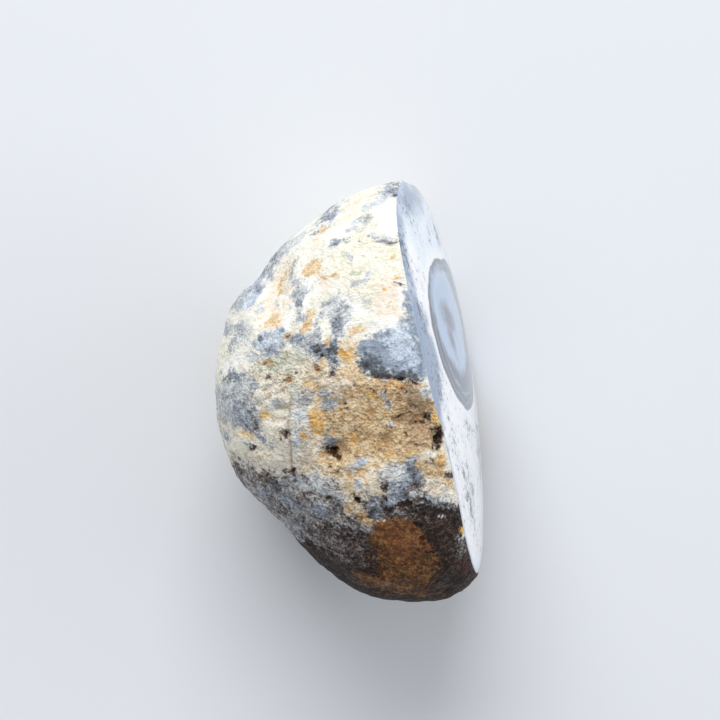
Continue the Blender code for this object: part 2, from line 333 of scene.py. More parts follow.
STAINS = tuple(Stain(*row) for row in (
    # Grounds of the middle and of the lower end
    (Zone.SHALE, 380, 690, 280, 188, 12), (Zone.SHALE, 430, 511, 44, 15, 2), (Zone.STRAW, 364, 262, 36, 32),
    (Zone.SAND, 296, 388, 58, 34, 4), (Zone.CHALK, 262, 394, 20, 20, 0, 1.2),
    (Zone.PUTTY, 258, 446, 50, 34, 20), (Zone.PUTTY, 286, 452, 40, 30, 14), (Zone.SAND, 322, 446, 26, 46),
    (Zone.OCHRE, 384, 424, 60, 44), (Zone.OCHRE, 352, 452, 20, 28), (Zone.UMBER, 412, 411, 17, 33, -16),
    (Zone.SAND, 392, 480, 62, 18), (Zone.GRIT, 300, 508, 80, 28, 14), (Zone.GRIT, 366, 512, 40, 14, 4),
    (Zone.GRAPHITE, 306, 562, 70, 30, 34), (Zone.GRAPHITE, 362, 545, 34, 26, 20),
    (Zone.BLACK, 352, 596, 80, 46, 16), (Zone.BLACK, 430, 560, 60, 54, -6),
    (Zone.BLACK, 436, 612, 90, 34, -16),
    # Upper end: cream ground, white smooth places and grey-blue along the outline
    (Zone.STRAW, 356, 211, 22, 16, -20), (Zone.PEACH, 359, 198, 12, 4, -25),
    (Zone.WHITE, 336, 237, 14, 6, -24), (Zone.WHITE, 312, 284, 10, 10), (Zone.PEARL, 372, 206, 7, 5, -30),
    (Zone.MIST, 367, 221, 5, 3, -24), (Zone.PEARL, 354, 228, 12, 2.4, -24), (Zone.OLIVE, 354, 270, 5, 2, -20),
    (Zone.OLIVE, 347, 257, 3, 3, 20), (Zone.MIST, 382, 200, 6, 3, -40),
    (Zone.WHITE, 388, 217, 10, 20, 0, 2.5), (Zone.STRAW, 394, 216, 3, 4),
    (Zone.PEARL, 390, 189, 14, 8, -12, 1.4), (Zone.SLATE, 391, 189, 10.4, 6, -14, 1.8),
    (Zone.SLATE, 397, 186, 7, 5, -30, 1.4), (Zone.STEEL, 391, 193.5, 7, 1.4, 12),
    (Zone.PEARL, 380, 203, 6, 4, -40), (Zone.PEARL, 330, 212, 18, 7, -42),
    (Zone.SLATE, 329, 212, 14, 3.6, -42), (Zone.SLATE, 314, 232, 4, 2, -20),
    (Zone.PEARL, 301, 238, 5, 3, -45), (Zone.TAN, 324, 228, 5, 3, -40), (Zone.OLIVE, 335, 226, 5, 1.4, -30),
    (Zone.SLATE, 339, 244, 11, 3.2, -27), (Zone.WHITE, 342, 241, 4, 1.2, -27),
    (Zone.OLIVE, 372, 216, 6, 3.4, -20), (Zone.MIST, 371, 218, 3, 1.4, -20), (Zone.OLIVE, 364.5, 230, 3, 2.2),
    (Zone.OLIVE, 374, 226, 3, 2), (Zone.TAN, 370, 195, 4, 1.4, -20), (Zone.PEARL, 379, 239, 6, 3.4),
    (Zone.SLATE, 386, 242.5, 14, 1.5, 4), (Zone.STEEL, 396, 242, 5, 1.8), (Zone.PEARL, 386, 238, 12, 2.4, 6),
    (Zone.SLATE, 396, 235, 3, 3), (Zone.SLATE, 355, 244, 10, 1.1, -2), (Zone.OLIVE, 374, 259, 4, 1.6, -8),
    (Zone.PEARL, 350, 258, 2.2, 3, 10), (Zone.TAN, 391, 260, 4, 1.8, -30), (Zone.TAN, 334, 274, 4, 3),
    (Zone.TAN, 311, 269, 9.4, 7, -26, 2.2), (Zone.TAN, 325, 275, 6, 2.4), (Zone.OLIVE, 319, 281, 3, 1.6, 20),
    (Zone.OLIVE, 313.5, 289, 1.8, 3), (Zone.PEACH, 314, 245, 4, 10, 12), (Zone.PEACH, 325, 288, 6, 8),
    (Zone.PEARL, 365, 277, 7, 3.4, -24), (Zone.PEARL, 356, 283, 6, 2.4, -10),
    (Zone.OLIVE, 356, 270, 7, 3, -16), (Zone.PEACH, 391, 300, 16, 22), (Zone.ORANGE, 396, 279.5, 4, 2, -25),
    (Zone.ORANGE, 385.5, 293.5, 3.4, 2, -15), (Zone.TAN, 357, 290, 6, 1.3, 4),
    (Zone.OLIVE, 364, 296, 7, 2.8, 8), (Zone.MIST, 365, 297, 2.6, 1.4), (Zone.WHITE, 388, 326, 16, 9),
    (Zone.WHITE, 403, 300, 3.4, 15), (Zone.WHITE, 346, 326, 6, 7), (Zone.WHITE, 352, 308, 10, 8),
    # Upper left: grey-blue outline, the scooped peach channel and the streak beside it
    (Zone.PEARL, 282, 251, 24, 8, -47), (Zone.MIST, 277, 257, 17, 6, -49),
    (Zone.SLATE, 272, 263, 10, 2.4, -52), (Zone.MIST, 271, 276, 3, 8, -8),
    (Zone.SLATE, 262, 274, 6, 3.4, -45), (Zone.SKY, 250, 293, 20, 9, -46, 1.6), (Zone.SLATE, 258, 288, 4, 6),
    (Zone.MIST, 238, 299, 24, 5.4, -56), (Zone.SLATE, 229, 313, 12, 3, -66), (Zone.WHITE, 267, 293, 5, 6),
    (Zone.MIST, 229, 328, 4.4, 6, 20), (Zone.PEACH, 281, 287, 10, 25, 17), (Zone.PEACH, 273, 318, 11, 12, 10),
    (Zone.TAN, 283, 287, 3.4, 20, 17, 1.4), (Zone.TAN, 272, 319, 6, 10, 26), (Zone.PEARL, 277, 304, 3, 6, 20),
    (Zone.OLIVE, 286, 281, 1.8, 7, 8), (Zone.WHITE, 267, 290, 3.4, 12, 26), (Zone.WHITE, 284, 296, 3.4, 4),
    (Zone.PEARL, 259, 307, 3, 2.4), (Zone.PEACH, 267, 305, 4, 8, 26), (Zone.MIST, 297, 262, 2.6, 9, 14),
    (Zone.MIST, 294.5, 279, 3, 9), (Zone.MIST, 298, 299, 8, 18), (Zone.SLATE, 298, 306, 4, 5),
    (Zone.MIST, 303, 316, 9, 6, 20), (Zone.WHITE, 308, 300, 4.4, 12, 6), (Zone.WHITE, 289, 316, 2.4, 13, 6),
    # Grey-blue and black cluster left of the middle, with white teeth
    (Zone.PEARL, 245, 333, 11, 11), (Zone.MIST, 241, 331, 6, 5), (Zone.MIST, 233, 344, 5, 7, 10),
    (Zone.MIST, 270, 346, 13, 12, -10, 1.4), (Zone.SKY, 267, 343, 8, 7, -10),
    (Zone.SLATE, 273, 352, 6, 3, 10), (Zone.SLATE, 264, 339, 3, 2.4), (Zone.WHITE, 274, 341, 2, 1.6),
    (Zone.SKY, 281, 331, 4.4, 9, 20), (Zone.SLATE, 282, 330, 2, 4, 20), (Zone.MIST, 270, 355, 9, 3),
    (Zone.MIST, 254, 358, 6, 5, -30), (Zone.OCHRE, 288, 338, 5, 4, -30),
    (Zone.BROWN, 287.5, 337, 3, 1.4, -30), (Zone.PEARL, 316, 344, 28, 12, 4),
    (Zone.TAN, 311, 318, 2.6, 10, 24), (Zone.TAN, 304, 328, 2.8, 9, 24), (Zone.MIST, 308, 346, 20, 8, 4),
    (Zone.SLATE, 299, 342, 5, 5), (Zone.PEARL, 336, 318, 16, 20), (Zone.MIST, 319, 326, 4.4, 18, 16),
    (Zone.MIST, 330, 302, 4, 2, -30), (Zone.MIST, 341, 326, 6.4, 18, 6), (Zone.SLATE, 344, 310, 6, 1.6, -6),
    (Zone.SLATE, 338, 329, 3.6, 16, 4), (Zone.WHITE, 348, 325, 4.4, 4), (Zone.SLATE, 326, 350, 18, 10),
    (Zone.STEEL, 319, 347, 7, 6), (Zone.STEEL, 334, 353, 9, 6), (Zone.CREAM, 326.5, 330, 5.4, 15, 3, 2.4),
    (Zone.TAN, 328, 342, 2.6, 4.4), (Zone.GRAPHITE, 315, 351, 2.6, 1.4, 10),
    (Zone.STEEL, 323, 355, 6, 2.4, 10), (Zone.GRAPHITE, 324, 356, 2.4, 1), (Zone.PEARL, 318, 355, 3, 1.6),
    (Zone.TAN, 358, 330, 7, 3.4, -30), (Zone.PEACH, 359, 339, 4, 4), (Zone.TAN, 352, 348, 8, 10),
    (Zone.TAN, 360, 377, 12, 8, 14), (Zone.ORANGE, 344, 356, 4.4, 4.4, 0, 2.5), (Zone.TAN, 325, 361, 7, 4),
    (Zone.OCHRE, 316, 366.5, 7, 4, 20), (Zone.BROWN, 316, 367.5, 3.4, 1.4, 24),
    (Zone.GRAPHITE, 331.5, 374, 2.8, 1.6), (Zone.OLIVE, 341, 365, 4, 5), (Zone.TAN, 353, 371, 13, 11, 10),
    (Zone.SLATE, 334, 365, 4, 8, 0, 1.8), (Zone.STEEL, 334, 364, 2.4, 4), (Zone.WHITE, 235, 364, 12, 8, -30),
    (Zone.STRAW, 220, 358, 5, 18),
    # Grey-blue patch at the rim and the dark ledge under it, with painted shade of the rounded rim along it and
    # painted shadow under the ledge's step
    # Painted shade: the mist stain at column 404.5, the sky stain at 406 and the dusk strips at 411.5, 414.5
    # and 421 stand for the rounded rim's shade, and the dark stains from column 371 to 416 along the ledge's
    # foot are painted shadow under its step
    (Zone.MIST, 404.5, 324, 4, 7, -8), (Zone.GRIT, 402, 285.6, 6, 0.7, 3), (Zone.DUSK, 380, 354, 20, 21, -4),
    (Zone.DUSK, 398, 360, 24, 15, 8), (Zone.SKY, 404, 347, 16, 14, 20), (Zone.DUSK, 414, 368, 16, 15, 20),
    (Zone.SKY, 415, 362, 10, 15, -24), (Zone.DUSK, 421, 377, 5, 6, -20), (Zone.SKY, 406, 332, 7, 9, -8, 1.4),
    (Zone.DUSK, 411.5, 304, 4, 15, -8, 2.2), (Zone.DUSK, 414.5, 326, 6.4, 18, -16, 2.2),
    (Zone.DUSK, 421, 356, 4.6, 25, -13, 2.2), (Zone.LEDGE_SHADOW, 371, 364, 11, 9, 34),
    (Zone.LEDGE_SHADOW, 388, 373, 19, 4.4, 5), (Zone.GRAPHITE, 384, 377.5, 12, 0.9, 3),
    (Zone.MIST, 389, 381, 8, 2.4, 6), (Zone.DUSK, 400, 374, 6, 2, 4), (Zone.LEDGE_SHADOW, 410, 378, 15, 6, 20),
    (Zone.GRAPHITE, 412, 382.5, 12, 3, 20), (Zone.BLACK, 401, 380, 3, 2.4),
    (Zone.BLACK, 416, 385, 9, 1.6, 22),
    # Green-grey and granular cream middle left
    (Zone.OLIVE, 277, 364, 27, 10, -12, 1.8), (Zone.PUTTY, 285, 366, 6, 3, -20),
    (Zone.OCHRE, 263.5, 364, 4, 2.2), (Zone.GRAPHITE, 295.5, 373, 2.2, 1.6), (Zone.OCHRE, 288, 378.5, 6, 2.6),
    (Zone.GRAPHITE, 288, 378.8, 3.4, 1.2), (Zone.GRAPHITE, 270, 378.5, 3, 1.2, 10),
    (Zone.OLIVE, 293, 388, 4, 14, 6, 1.6), (Zone.PUTTY, 299, 428, 12, 32), (Zone.PEARL, 297, 440, 6, 12),
    (Zone.MIST, 316, 393, 20, 5, -8, 1.4), (Zone.MIST, 302, 400, 9, 6, -20),
    (Zone.MIST, 331, 404, 6, 9, -10, 1.4), (Zone.TAN, 319, 399, 8, 4, -20), (Zone.PEARL, 279, 404, 8, 3, -8),
    (Zone.TAN, 312, 386, 9, 6), (Zone.MIST, 240, 384, 16, 10, 10), (Zone.SLATE, 234, 379, 8, 5, 10),
    (Zone.PEARL, 232, 402, 18, 14, 6), (Zone.MIST, 229, 400, 11, 9, 6), (Zone.SLATE, 241, 409, 6, 4),
    (Zone.MIST, 253, 420, 8, 15, -14), (Zone.GRIT, 254, 424, 4.4, 9, -14), (Zone.SLATE, 250, 414, 4, 5, -14),
    (Zone.PEARL, 246, 391, 7.4, 12, 6, 1.4), (Zone.MIST, 217, 402, 6, 14, -6),
    (Zone.MIST, 237, 416, 18, 12, 34), (Zone.SLATE, 243, 420, 10, 6, 40), (Zone.TAN, 244, 434, 9, 2.6, 8),
    (Zone.SLATE, 261.5, 438, 4.4, 5.4, -24), (Zone.GRAPHITE, 255.5, 448.5, 5, 3, 24),
    (Zone.SLATE, 225, 437, 3, 4.4), (Zone.STRAW, 279.5, 413.5, 8, 5, -16, 1.6),
    (Zone.STRAW, 234, 448, 16, 8, 40), (Zone.PEARL, 228, 440, 3.4, 8, -30), (Zone.TAN, 249, 437, 4, 1.8, 10),
    (Zone.MIST, 249, 446, 8, 1.6, 26), (Zone.STRAW, 262, 453, 6, 2.4, 14), (Zone.MIST, 272, 446, 3, 5, 10),
    (Zone.ORANGE, 268, 418, 4.6, 3.8), (Zone.SAND, 307, 429, 3.6, 6, 6), (Zone.PEARL, 300, 416, 8, 9),
    (Zone.GRAPHITE, 284, 434, 4.6, 4), (Zone.STRAW, 275, 457.5, 8, 2.2), (Zone.SAND, 262, 458, 9, 4, 10),
    (Zone.BLACK, 292, 471, 2.8, 4, 10), (Zone.GRAPHITE, 286, 477, 8, 3, 10),
    # Ochre field
    (Zone.ORANGE, 316.5, 416, 8, 7.6, -8, 1.6), (Zone.ORANGE, 319.5, 424, 6.4, 8, -14, 1.6),
    (Zone.ORANGE, 304, 437.5, 5, 3.2), (Zone.ORANGE, 370, 393, 4.6, 3.8, 30, 2.5),
    (Zone.OCHRE, 369, 384, 9, 5, 14), (Zone.BROWN, 369.5, 385, 4, 1.2, 14),
    (Zone.ORANGE, 394, 385.5, 6, 1.8, 8), (Zone.PUTTY, 424, 395, 5, 8, -24),
    (Zone.GRIT, 408, 391, 9, 2.4, 14), (Zone.PEARL, 430, 400, 3.4, 13, -24, 1.4),
    (Zone.GRAPHITE, 411, 405, 4, 2.4), (Zone.TAN, 402.5, 402.5, 4, 2.4), (Zone.GRAPHITE, 393, 418.5, 3.4, 2),
    (Zone.BROWN, 398, 417, 3, 2), (Zone.BROWN, 422, 414.5, 6.4, 3.6, 28), (Zone.GRAPHITE, 426, 417, 2.8, 2.6),
    (Zone.ORANGE, 434, 417, 4, 6.4, -24), (Zone.BROWN, 419.5, 423, 4, 1.4, 10),
    (Zone.BROWN, 407, 433, 2.4, 1.4, 10), (Zone.BROWN, 418, 440, 3, 1.2, 16),
    (Zone.BROWN, 400, 441, 1.8, 1.4), (Zone.OCHRE, 424, 451, 6, 3, 10), (Zone.BROWN, 433, 459, 3, 1.4, 30),
    (Zone.GRIT, 383.5, 393, 2.6, 3.6), (Zone.GRIT, 387, 406, 2.2, 4), (Zone.MIST, 384, 399, 1.8, 2),
    (Zone.GRIT, 389.5, 424.5, 5, 5.4, 20, 1.4), (Zone.MIST, 386, 421, 2, 1.6),
    (Zone.BROWN, 399, 388.5, 5, 1, 8), (Zone.BROWN, 406, 413, 5, 1.4, 16),
    (Zone.RUST, 372, 388.5, 3, 1.8, 24), (Zone.TAN, 361, 447, 9, 5, 24), (Zone.ORANGE, 353, 440, 4, 7, 10),
    (Zone.TAN, 347, 430, 4, 7, 8), (Zone.TAN, 351, 403, 6, 5, -14), (Zone.GRAPHITE, 348, 409, 3, 1.2, 14),
    (Zone.BROWN, 345, 403.5, 2.8, 1.4), (Zone.BLACK, 437, 436, 5, 11, -8), (Zone.PUTTY, 446, 449, 3, 18, -12),
    (Zone.SLATE, 330, 445, 10, 6.4, -14), (Zone.BLACK, 333, 449.5, 7.4, 1.6, -6),
    (Zone.BROWN, 334, 456, 7.6, 3, 8), (Zone.BROWN, 330, 468, 2.2, 1.4), (Zone.OCHRE, 338, 473.5, 5, 3, 20),
    (Zone.ORANGE, 344, 477, 3.6, 2.4), (Zone.ORANGE, 411, 452, 3.4, 2.2),
    (Zone.ORANGE, 390, 454, 4, 3.4, -20), (Zone.OCHRE, 398, 447, 14, 6, -8),
    (Zone.ORANGE, 443.5, 456.5, 4.6, 5), (Zone.OCHRE, 428, 468, 16, 6, 8), (Zone.OCHRE, 441, 466, 4, 13, -16),
    (Zone.ORANGE, 448.5, 483, 4, 3), (Zone.BROWN, 435, 481, 8, 1, 6),
    (Zone.GRAPHITE, 449.5, 474.5, 4, 2.8, 20), (Zone.SAND, 436, 490, 19, 8, 4),
    (Zone.PUTTY, 440, 494, 14, 5, 4),
    # Lower end: grey-blue grain, black band, brown field
    (Zone.GRIT, 252, 482, 30, 10, 46), (Zone.GRIT, 286, 518, 40, 13, 42), (Zone.GRAPHITE, 238, 468, 9, 4, 50),
    (Zone.GRAPHITE, 263, 478, 10, 3.4, 24), (Zone.STEEL, 274, 485, 7, 3, 20),
    (Zone.SLATE, 262, 492, 9, 3, 45), (Zone.SLATE, 287, 496, 9, 4, 10), (Zone.MIST, 300, 486, 14, 5, 14),
    (Zone.GRAPHITE, 283, 508, 6, 3, 30), (Zone.SLATE, 298, 507, 9, 5, 20), (Zone.STEEL, 307, 519, 6, 2.4, 10),
    (Zone.GRIT, 318, 520, 14, 7, 20), (Zone.SLATE, 320, 510, 8, 5, 20), (Zone.SLATE, 284, 518, 9, 3, 44),
    (Zone.GRAPHITE, 326, 524, 8, 3.4, 20), (Zone.PEARL, 315, 482, 12, 7, 10),
    (Zone.SLATE, 302, 531, 8, 3, 40), (Zone.BLACK, 322, 563, 32, 12, 38, 1.4),
    (Zone.TAN, 375, 464, 13, 5, -4), (Zone.TAN, 365, 475, 10, 7, 20), (Zone.SAND, 378, 476, 7, 4, -6),
    (Zone.TAN, 349, 460, 9, 7, 10), (Zone.TAN, 346, 478, 7, 10, -8), (Zone.TAN, 338, 482, 5, 4),
    (Zone.SAND, 341, 489, 7, 5, 10), (Zone.TAN, 347, 492, 7, 7, -10), (Zone.OCHRE, 354, 496, 4, 3, 20),
    (Zone.SAND, 370, 491, 8, 6, 10), (Zone.TAN, 322, 464, 7, 5), (Zone.OCHRE, 323, 457, 5, 3),
    (Zone.OCHRE, 331, 465, 5, 4, 10), (Zone.OCHRE, 331, 473, 4, 3), (Zone.MIST, 338, 497, 5, 4),
    (Zone.MIST, 327, 495, 8, 3.4, 14), (Zone.MIST, 370, 503, 5, 4), (Zone.SKY, 359, 463, 9, 3.6, -18),
    (Zone.SAND, 352, 507, 6, 9, -20), (Zone.OCHRE, 350, 505, 4, 4.4, -10), (Zone.OCHRE, 360, 513, 8, 4, 20),
    (Zone.ORANGE, 364, 516, 4, 2, 20), (Zone.SKY, 358, 483, 4.4, 7), (Zone.MIST, 401, 482, 20, 18, -10, 1.3),
    (Zone.PEARL, 396, 471, 8, 7, -10), (Zone.MIST, 411, 468, 6, 10), (Zone.SLATE, 403, 488, 14, 8, -10),
    (Zone.SLATE, 413, 478, 8, 12, -10, 1.4), (Zone.STEEL, 412, 482, 3.6, 8, -10),
    (Zone.STEEL, 408, 494, 12, 5, -14), (Zone.SLATE, 392, 502, 20, 7), (Zone.GRAPHITE, 386, 486, 3, 6.4),
    (Zone.BLACK, 384, 498, 3, 3), (Zone.BLACK, 357.5, 501, 4.4, 4), (Zone.BLACK, 327.5, 500.5, 4, 1.6),
    (Zone.GRAPHITE, 414, 492, 8, 6, -10), (Zone.MIST, 424, 496, 20, 4, 10), (Zone.SLATE, 424, 500, 22, 4, 10),
    (Zone.STEEL, 440, 503, 20, 5, 3), (Zone.MIST, 430, 494, 9, 3, 6), (Zone.PEARL, 446, 498, 5, 2, 6),
    (Zone.BLACK, 434, 512, 36, 10, 1), (Zone.STEEL, 442, 502, 16, 2.4, 3), (Zone.BLACK, 440, 521, 34, 18, 2),
    (Zone.BLACK, 408, 505, 11, 6), (Zone.GRAPHITE, 418, 499, 7, 3, -10), (Zone.GRAPHITE, 392, 515, 24, 8, 8),
    (Zone.STEEL, 376, 512, 8, 5, 10), (Zone.GRIT, 356, 524, 12, 6, 20), (Zone.MIST, 440, 514.5, 2.4, 1.4),
    (Zone.GRIT, 397, 511, 3.4, 5, -20), (Zone.BROWN, 398, 544, 31, 24, 14, 1.5),
    (Zone.BROWN, 408, 562, 30, 23, 12), (Zone.BROWN, 374, 579, 14, 7, 14), (Zone.BROWN, 402, 590, 26, 5, 2),
    (Zone.RUST, 401, 536, 23, 11, 16), (Zone.RUST, 404, 555, 12, 12, 10), (Zone.RUST, 381, 577, 6, 3, 10),
    (Zone.MAROON, 376, 548, 3, 9, 10), (Zone.OCHRE, 368, 520, 8, 2, 14), (Zone.TAN, 383, 521, 11, 0.9, 6),
    (Zone.STEEL, 368, 562, 3, 2), (Zone.GRAPHITE, 386, 586, 8, 2.6), (Zone.BLACK, 422, 540, 4, 2.4, 20),
    (Zone.RUST, 379, 581, 5, 2.2, 10), (Zone.BLACK, 420, 527, 12, 3, 26),
    (Zone.GRAPHITE, 462, 550, 8, 12, -14), (Zone.GRIT, 460, 543, 3, 5, -14), (Zone.MAROON, 465, 571, 9, 7),
    (Zone.CREAM, 464, 536, 3, 4, -10), (Zone.ORANGE, 462.5, 531, 2.4, 3),
    (Zone.GRAPHITE, 336, 543, 34, 9, 26),
))


@dataclass(frozen=True)
class Hollow:
    """A scoop in the rind: its middle and long direction, half length, half width and depth in millimetres.

    Its side runs between the two shares of its half sizes in edge.
    """

    middle: Triple
    along: Triple
    half_length: float
    half_width: float
    depth: float
    edge: Pair = (0.45, 1.15)

    def depths(self, points: Array) -> Array:
        """Return how far the rind is lowered at each point.

        Args:
            points: Points of the rind in millimetres.

        Returns:
            Depths in millimetres.
        """
        direction = np.array(self.along) / np.linalg.norm(self.along)
        offsets = points - np.array(self.middle)
        lengthwise = offsets @ direction
        crosswise = np.sqrt(np.clip((offsets ** 2).sum(axis=1) - lengthwise ** 2, 0.0, None))
        reach = np.hypot(lengthwise / self.half_length, crosswise / self.half_width)
        return self.depth * (1.0 - smooth_step(*self.edge, reach))


HOLLOWS = (
    Hollow((-9.3, 12.0, 29.8), (0.35, 1.0, -0.25), 5.6, 1.9, 0.75),
    Hollow((-11.9, 14.2, 22.5), (0.3, 0.2, 1.0), 4.0, 1.5, 0.45),
    Hollow((1.8, -4.6, 36.9), (1.0, -0.1, 0.0), 8.2, 5.8, 0.65),
    Hollow((8.4, -2.6, 35.6), (0.3, 1.0, 0.0), 2.6, 1.8, 0.55),
    Hollow((10.6, -5.6, 34.4), (0.2, 1.0, 0.0), 2.0, 1.2, 0.6),
    Hollow((-2.1, -7.8, 35.8), (1.0, 0.5, 0.0), 2.0, 1.5, 1.1),
    Hollow((-9.0, -2.8, 34.2), (1.0, 0.6, 0.0), 2.2, 1.5, 0.5),
    Hollow((5.4, -19.6, 32.1), (0.4, 1.0, 0.0), 5.0, 4.2, 0.6),
    Hollow((-8.6, -14.6, 27.0), (0.6, -0.7, 0.2), 9.0, 5.0, 0.5),
    Hollow((-13.5, 4.0, 10.0), (0.1, 1.0, 0.2), 6.5, 3.6, 0.8),
    Hollow((-2.0, -23.0, 13.0), (1.0, -0.3, 0.4), 6.0, 3.2, 0.9),
    Hollow((2.0, 23.5, 12.0), (1.0, 0.3, -0.3), 5.5, 3.0, 0.8),
)


@dataclass(frozen=True)
class StoneForm:
    """The stone's form as its solid has it, in millimetres."""

    middle: Triple = (2.0, -1.0, 20.5)
    top_height: float = 16.5
    lower_depth: float = 22.6
    top_fullness: float = 2.0
    lower_fullness: float = 2.9
    outline: tuple[Pair, ...] = (
        (7.6, 26.7), (10.6, 25.6), (16.6, 21.0), (21.2, 13.0), (23.9, 4.0), (20.3, -6.0), (18.4, -16.0),
        (16.7, -23.0), (12.7, -26.5), (7.0, -26.8), (1.9, -25.9), (-3.8, -22.2), (-8.8, -16.7), (-13.9, -11.7),
        (-16.4, -6.0), (-17.1, -0.6), (-16.7, 5.1), (-14.9, 10.8), (-11.6, 14.4), (-8.8, 17.9), (-3.8, 22.2),
        (1.3, 25.2),
    )
    curve_steps: int = 12
    face_point: Triple = (15.1, 0.0, 17.0)
    face_normal: Triple = (1.0, 0.17, 0.19)
    face_radius_y: float = 141.0
    face_radius_z: float = 112.0
    face_twist: float = 0.0025
    rim_round: float = 0.8
    flat_round: float = 0.8
    lumps: tuple[Pair, ...] = ((12.0, 0.75), (4.6, 0.36))
    lump_share_at_outline: float = 0.3
    lump_share_at_rim: float = 0.35
    lumpy_rise: Pair = (0.08, 0.5)
    rim_reach: float = 3.5
    least_fall: float = 1e-3
    out_of_reach: float = 1000.0

    def face_axis(self) -> Array:
        """Return the unit direction that the polished face looks in."""
        normal = np.array(self.face_normal)
        return normal / np.linalg.norm(normal)

    def outline_radii(self, angles: Array) -> Array:
        """Return the outline's radius round the middle point.

        Args:
            angles: Angles in radians.

        Returns:
            The radius at each angle.
        """
        knots = np.array(self.outline)
        before = np.roll(knots, 1, axis=0)
        end = np.roll(knots, -1, axis=0)
        after = np.roll(knots, -2, axis=0)
        curve = []
        for step in range(self.curve_steps):
            t = step / self.curve_steps
            linear = (end - before) * t
            square = (2.0 * before - 5.0 * knots + 4.0 * end - after) * t ** 2
            cube = (3.0 * knots - before - 3.0 * end + after) * t ** 3
            curve.append(0.5 * (2.0 * knots + linear + square + cube))
        spokes = np.concatenate(curve) - np.array(self.middle[:2])
        turns = np.arctan2(spokes[:, 1], spokes[:, 0])
        order = np.argsort(turns)
        lengths = np.hypot(spokes[:, 0], spokes[:, 1])
        return np.interp(angles, turns[order], lengths[order], period=math.tau)

    def plain_rind(self, directions: Array) -> Array:
        """Return the distances to the rind without its lumps and hollows.

        Args:
            directions: Unit directions from the stone's middle.

        Returns:
            A distance in millimetres for each direction.
        """
        radii = self.outline_radii(np.arctan2(directions[:, 1], directions[:, 0]))
        upward = directions[:, 2] > 0.0
        heights = np.where(upward, self.top_height, self.lower_depth)
        fullness = np.where(upward, self.top_fullness, self.lower_fullness)
        level = np.hypot(directions[:, 0], directions[:, 1]) / radii
        rise = np.abs(directions[:, 2]) / heights
        return (level ** fullness + rise ** fullness) ** (-1.0 / fullness)

    def bend(self, first: Array, second: Array) -> Array:
        """Return how far the polished dome drops for two sets of offsets from its middle.

        Args:
            first: One set of offsets in millimetres.
            second: The other set, or the first again.

        Returns:
            Twice the drop where both sets are the same.
        """
        across = first[..., 1] * second[..., 2] + first[..., 2] * second[..., 1]
        along_y = first[..., 1] * second[..., 1] / self.face_radius_y
        along_z = first[..., 2] * second[..., 2] / self.face_radius_z
        return along_y + along_z + self.face_twist * across

    def face(self, directions: Array) -> Array:
        """Return the distances to the dome of the polished face, large where it isn't met.

        Args:
            directions: Unit directions from the stone's middle.

        Returns:
            A distance in millimetres for each direction.
        """
        normal = np.array(self.face_normal)
        spoke = np.array(self.middle) - np.array(self.face_point)
        square = self.bend(directions, directions) / 2.0
        slope = directions @ normal + self.bend(directions, spoke)
        depth = -(spoke @ normal + self.bend(spoke, spoke) / 2.0)
        root = slope * slope + 4.0 * square * depth
        reach = slope + np.sqrt(np.clip(root, 0.0, None))
        met = (root >= 0.0) & (reach > 0.0)
        return np.where(met, 2.0 * depth / np.where(met, reach, 1.0), self.out_of_reach)

    def rind(self, directions: Array) -> Array:
        """Return the distances to the rind with its lumps and hollows.

        Args:
            directions: Unit directions from the stone's middle.

        Returns:
            A distance in millimetres for each direction.
        """
        distances = self.plain_rind(directions)
        points = np.array(self.middle) + directions * distances[:, None]
        above_outline = smooth_step(*self.lumpy_rise, np.abs(directions[:, 2]))
        inside_rim = smooth_step(0.0, self.rim_reach, self.face(directions) - distances)
        share = self.lump_share_at_outline + (1.0 - self.lump_share_at_outline) * above_outline
        share = share * (self.lump_share_at_rim + (1.0 - self.lump_share_at_rim) * inside_rim)
        for wavelength, height in self.lumps:
            distances = distances + share * height * waves(points, wavelength)
        for hollow in HOLLOWS:
            distances = distances - hollow.depths(points)
        return distances

    def flat(self, directions: Array) -> Array:
        """Return the distances to the flat that the stone rests on, large above it.

        Args:
            directions: Unit directions from the stone's middle.

        Returns:
            A distance in millimetres for each direction.
        """
        downward = directions[:, 2] < -self.least_fall
        fall = np.where(downward, directions[:, 2], -1.0)
        return np.where(downward, -self.middle[2] / fall, self.out_of_reach)


@dataclass(frozen=True)
class Pit:
    """A small pit of the rind, placed in picture columns and rows, with its depth in millimetres."""

    column: float
    row: float
    radius: float
    depth: float


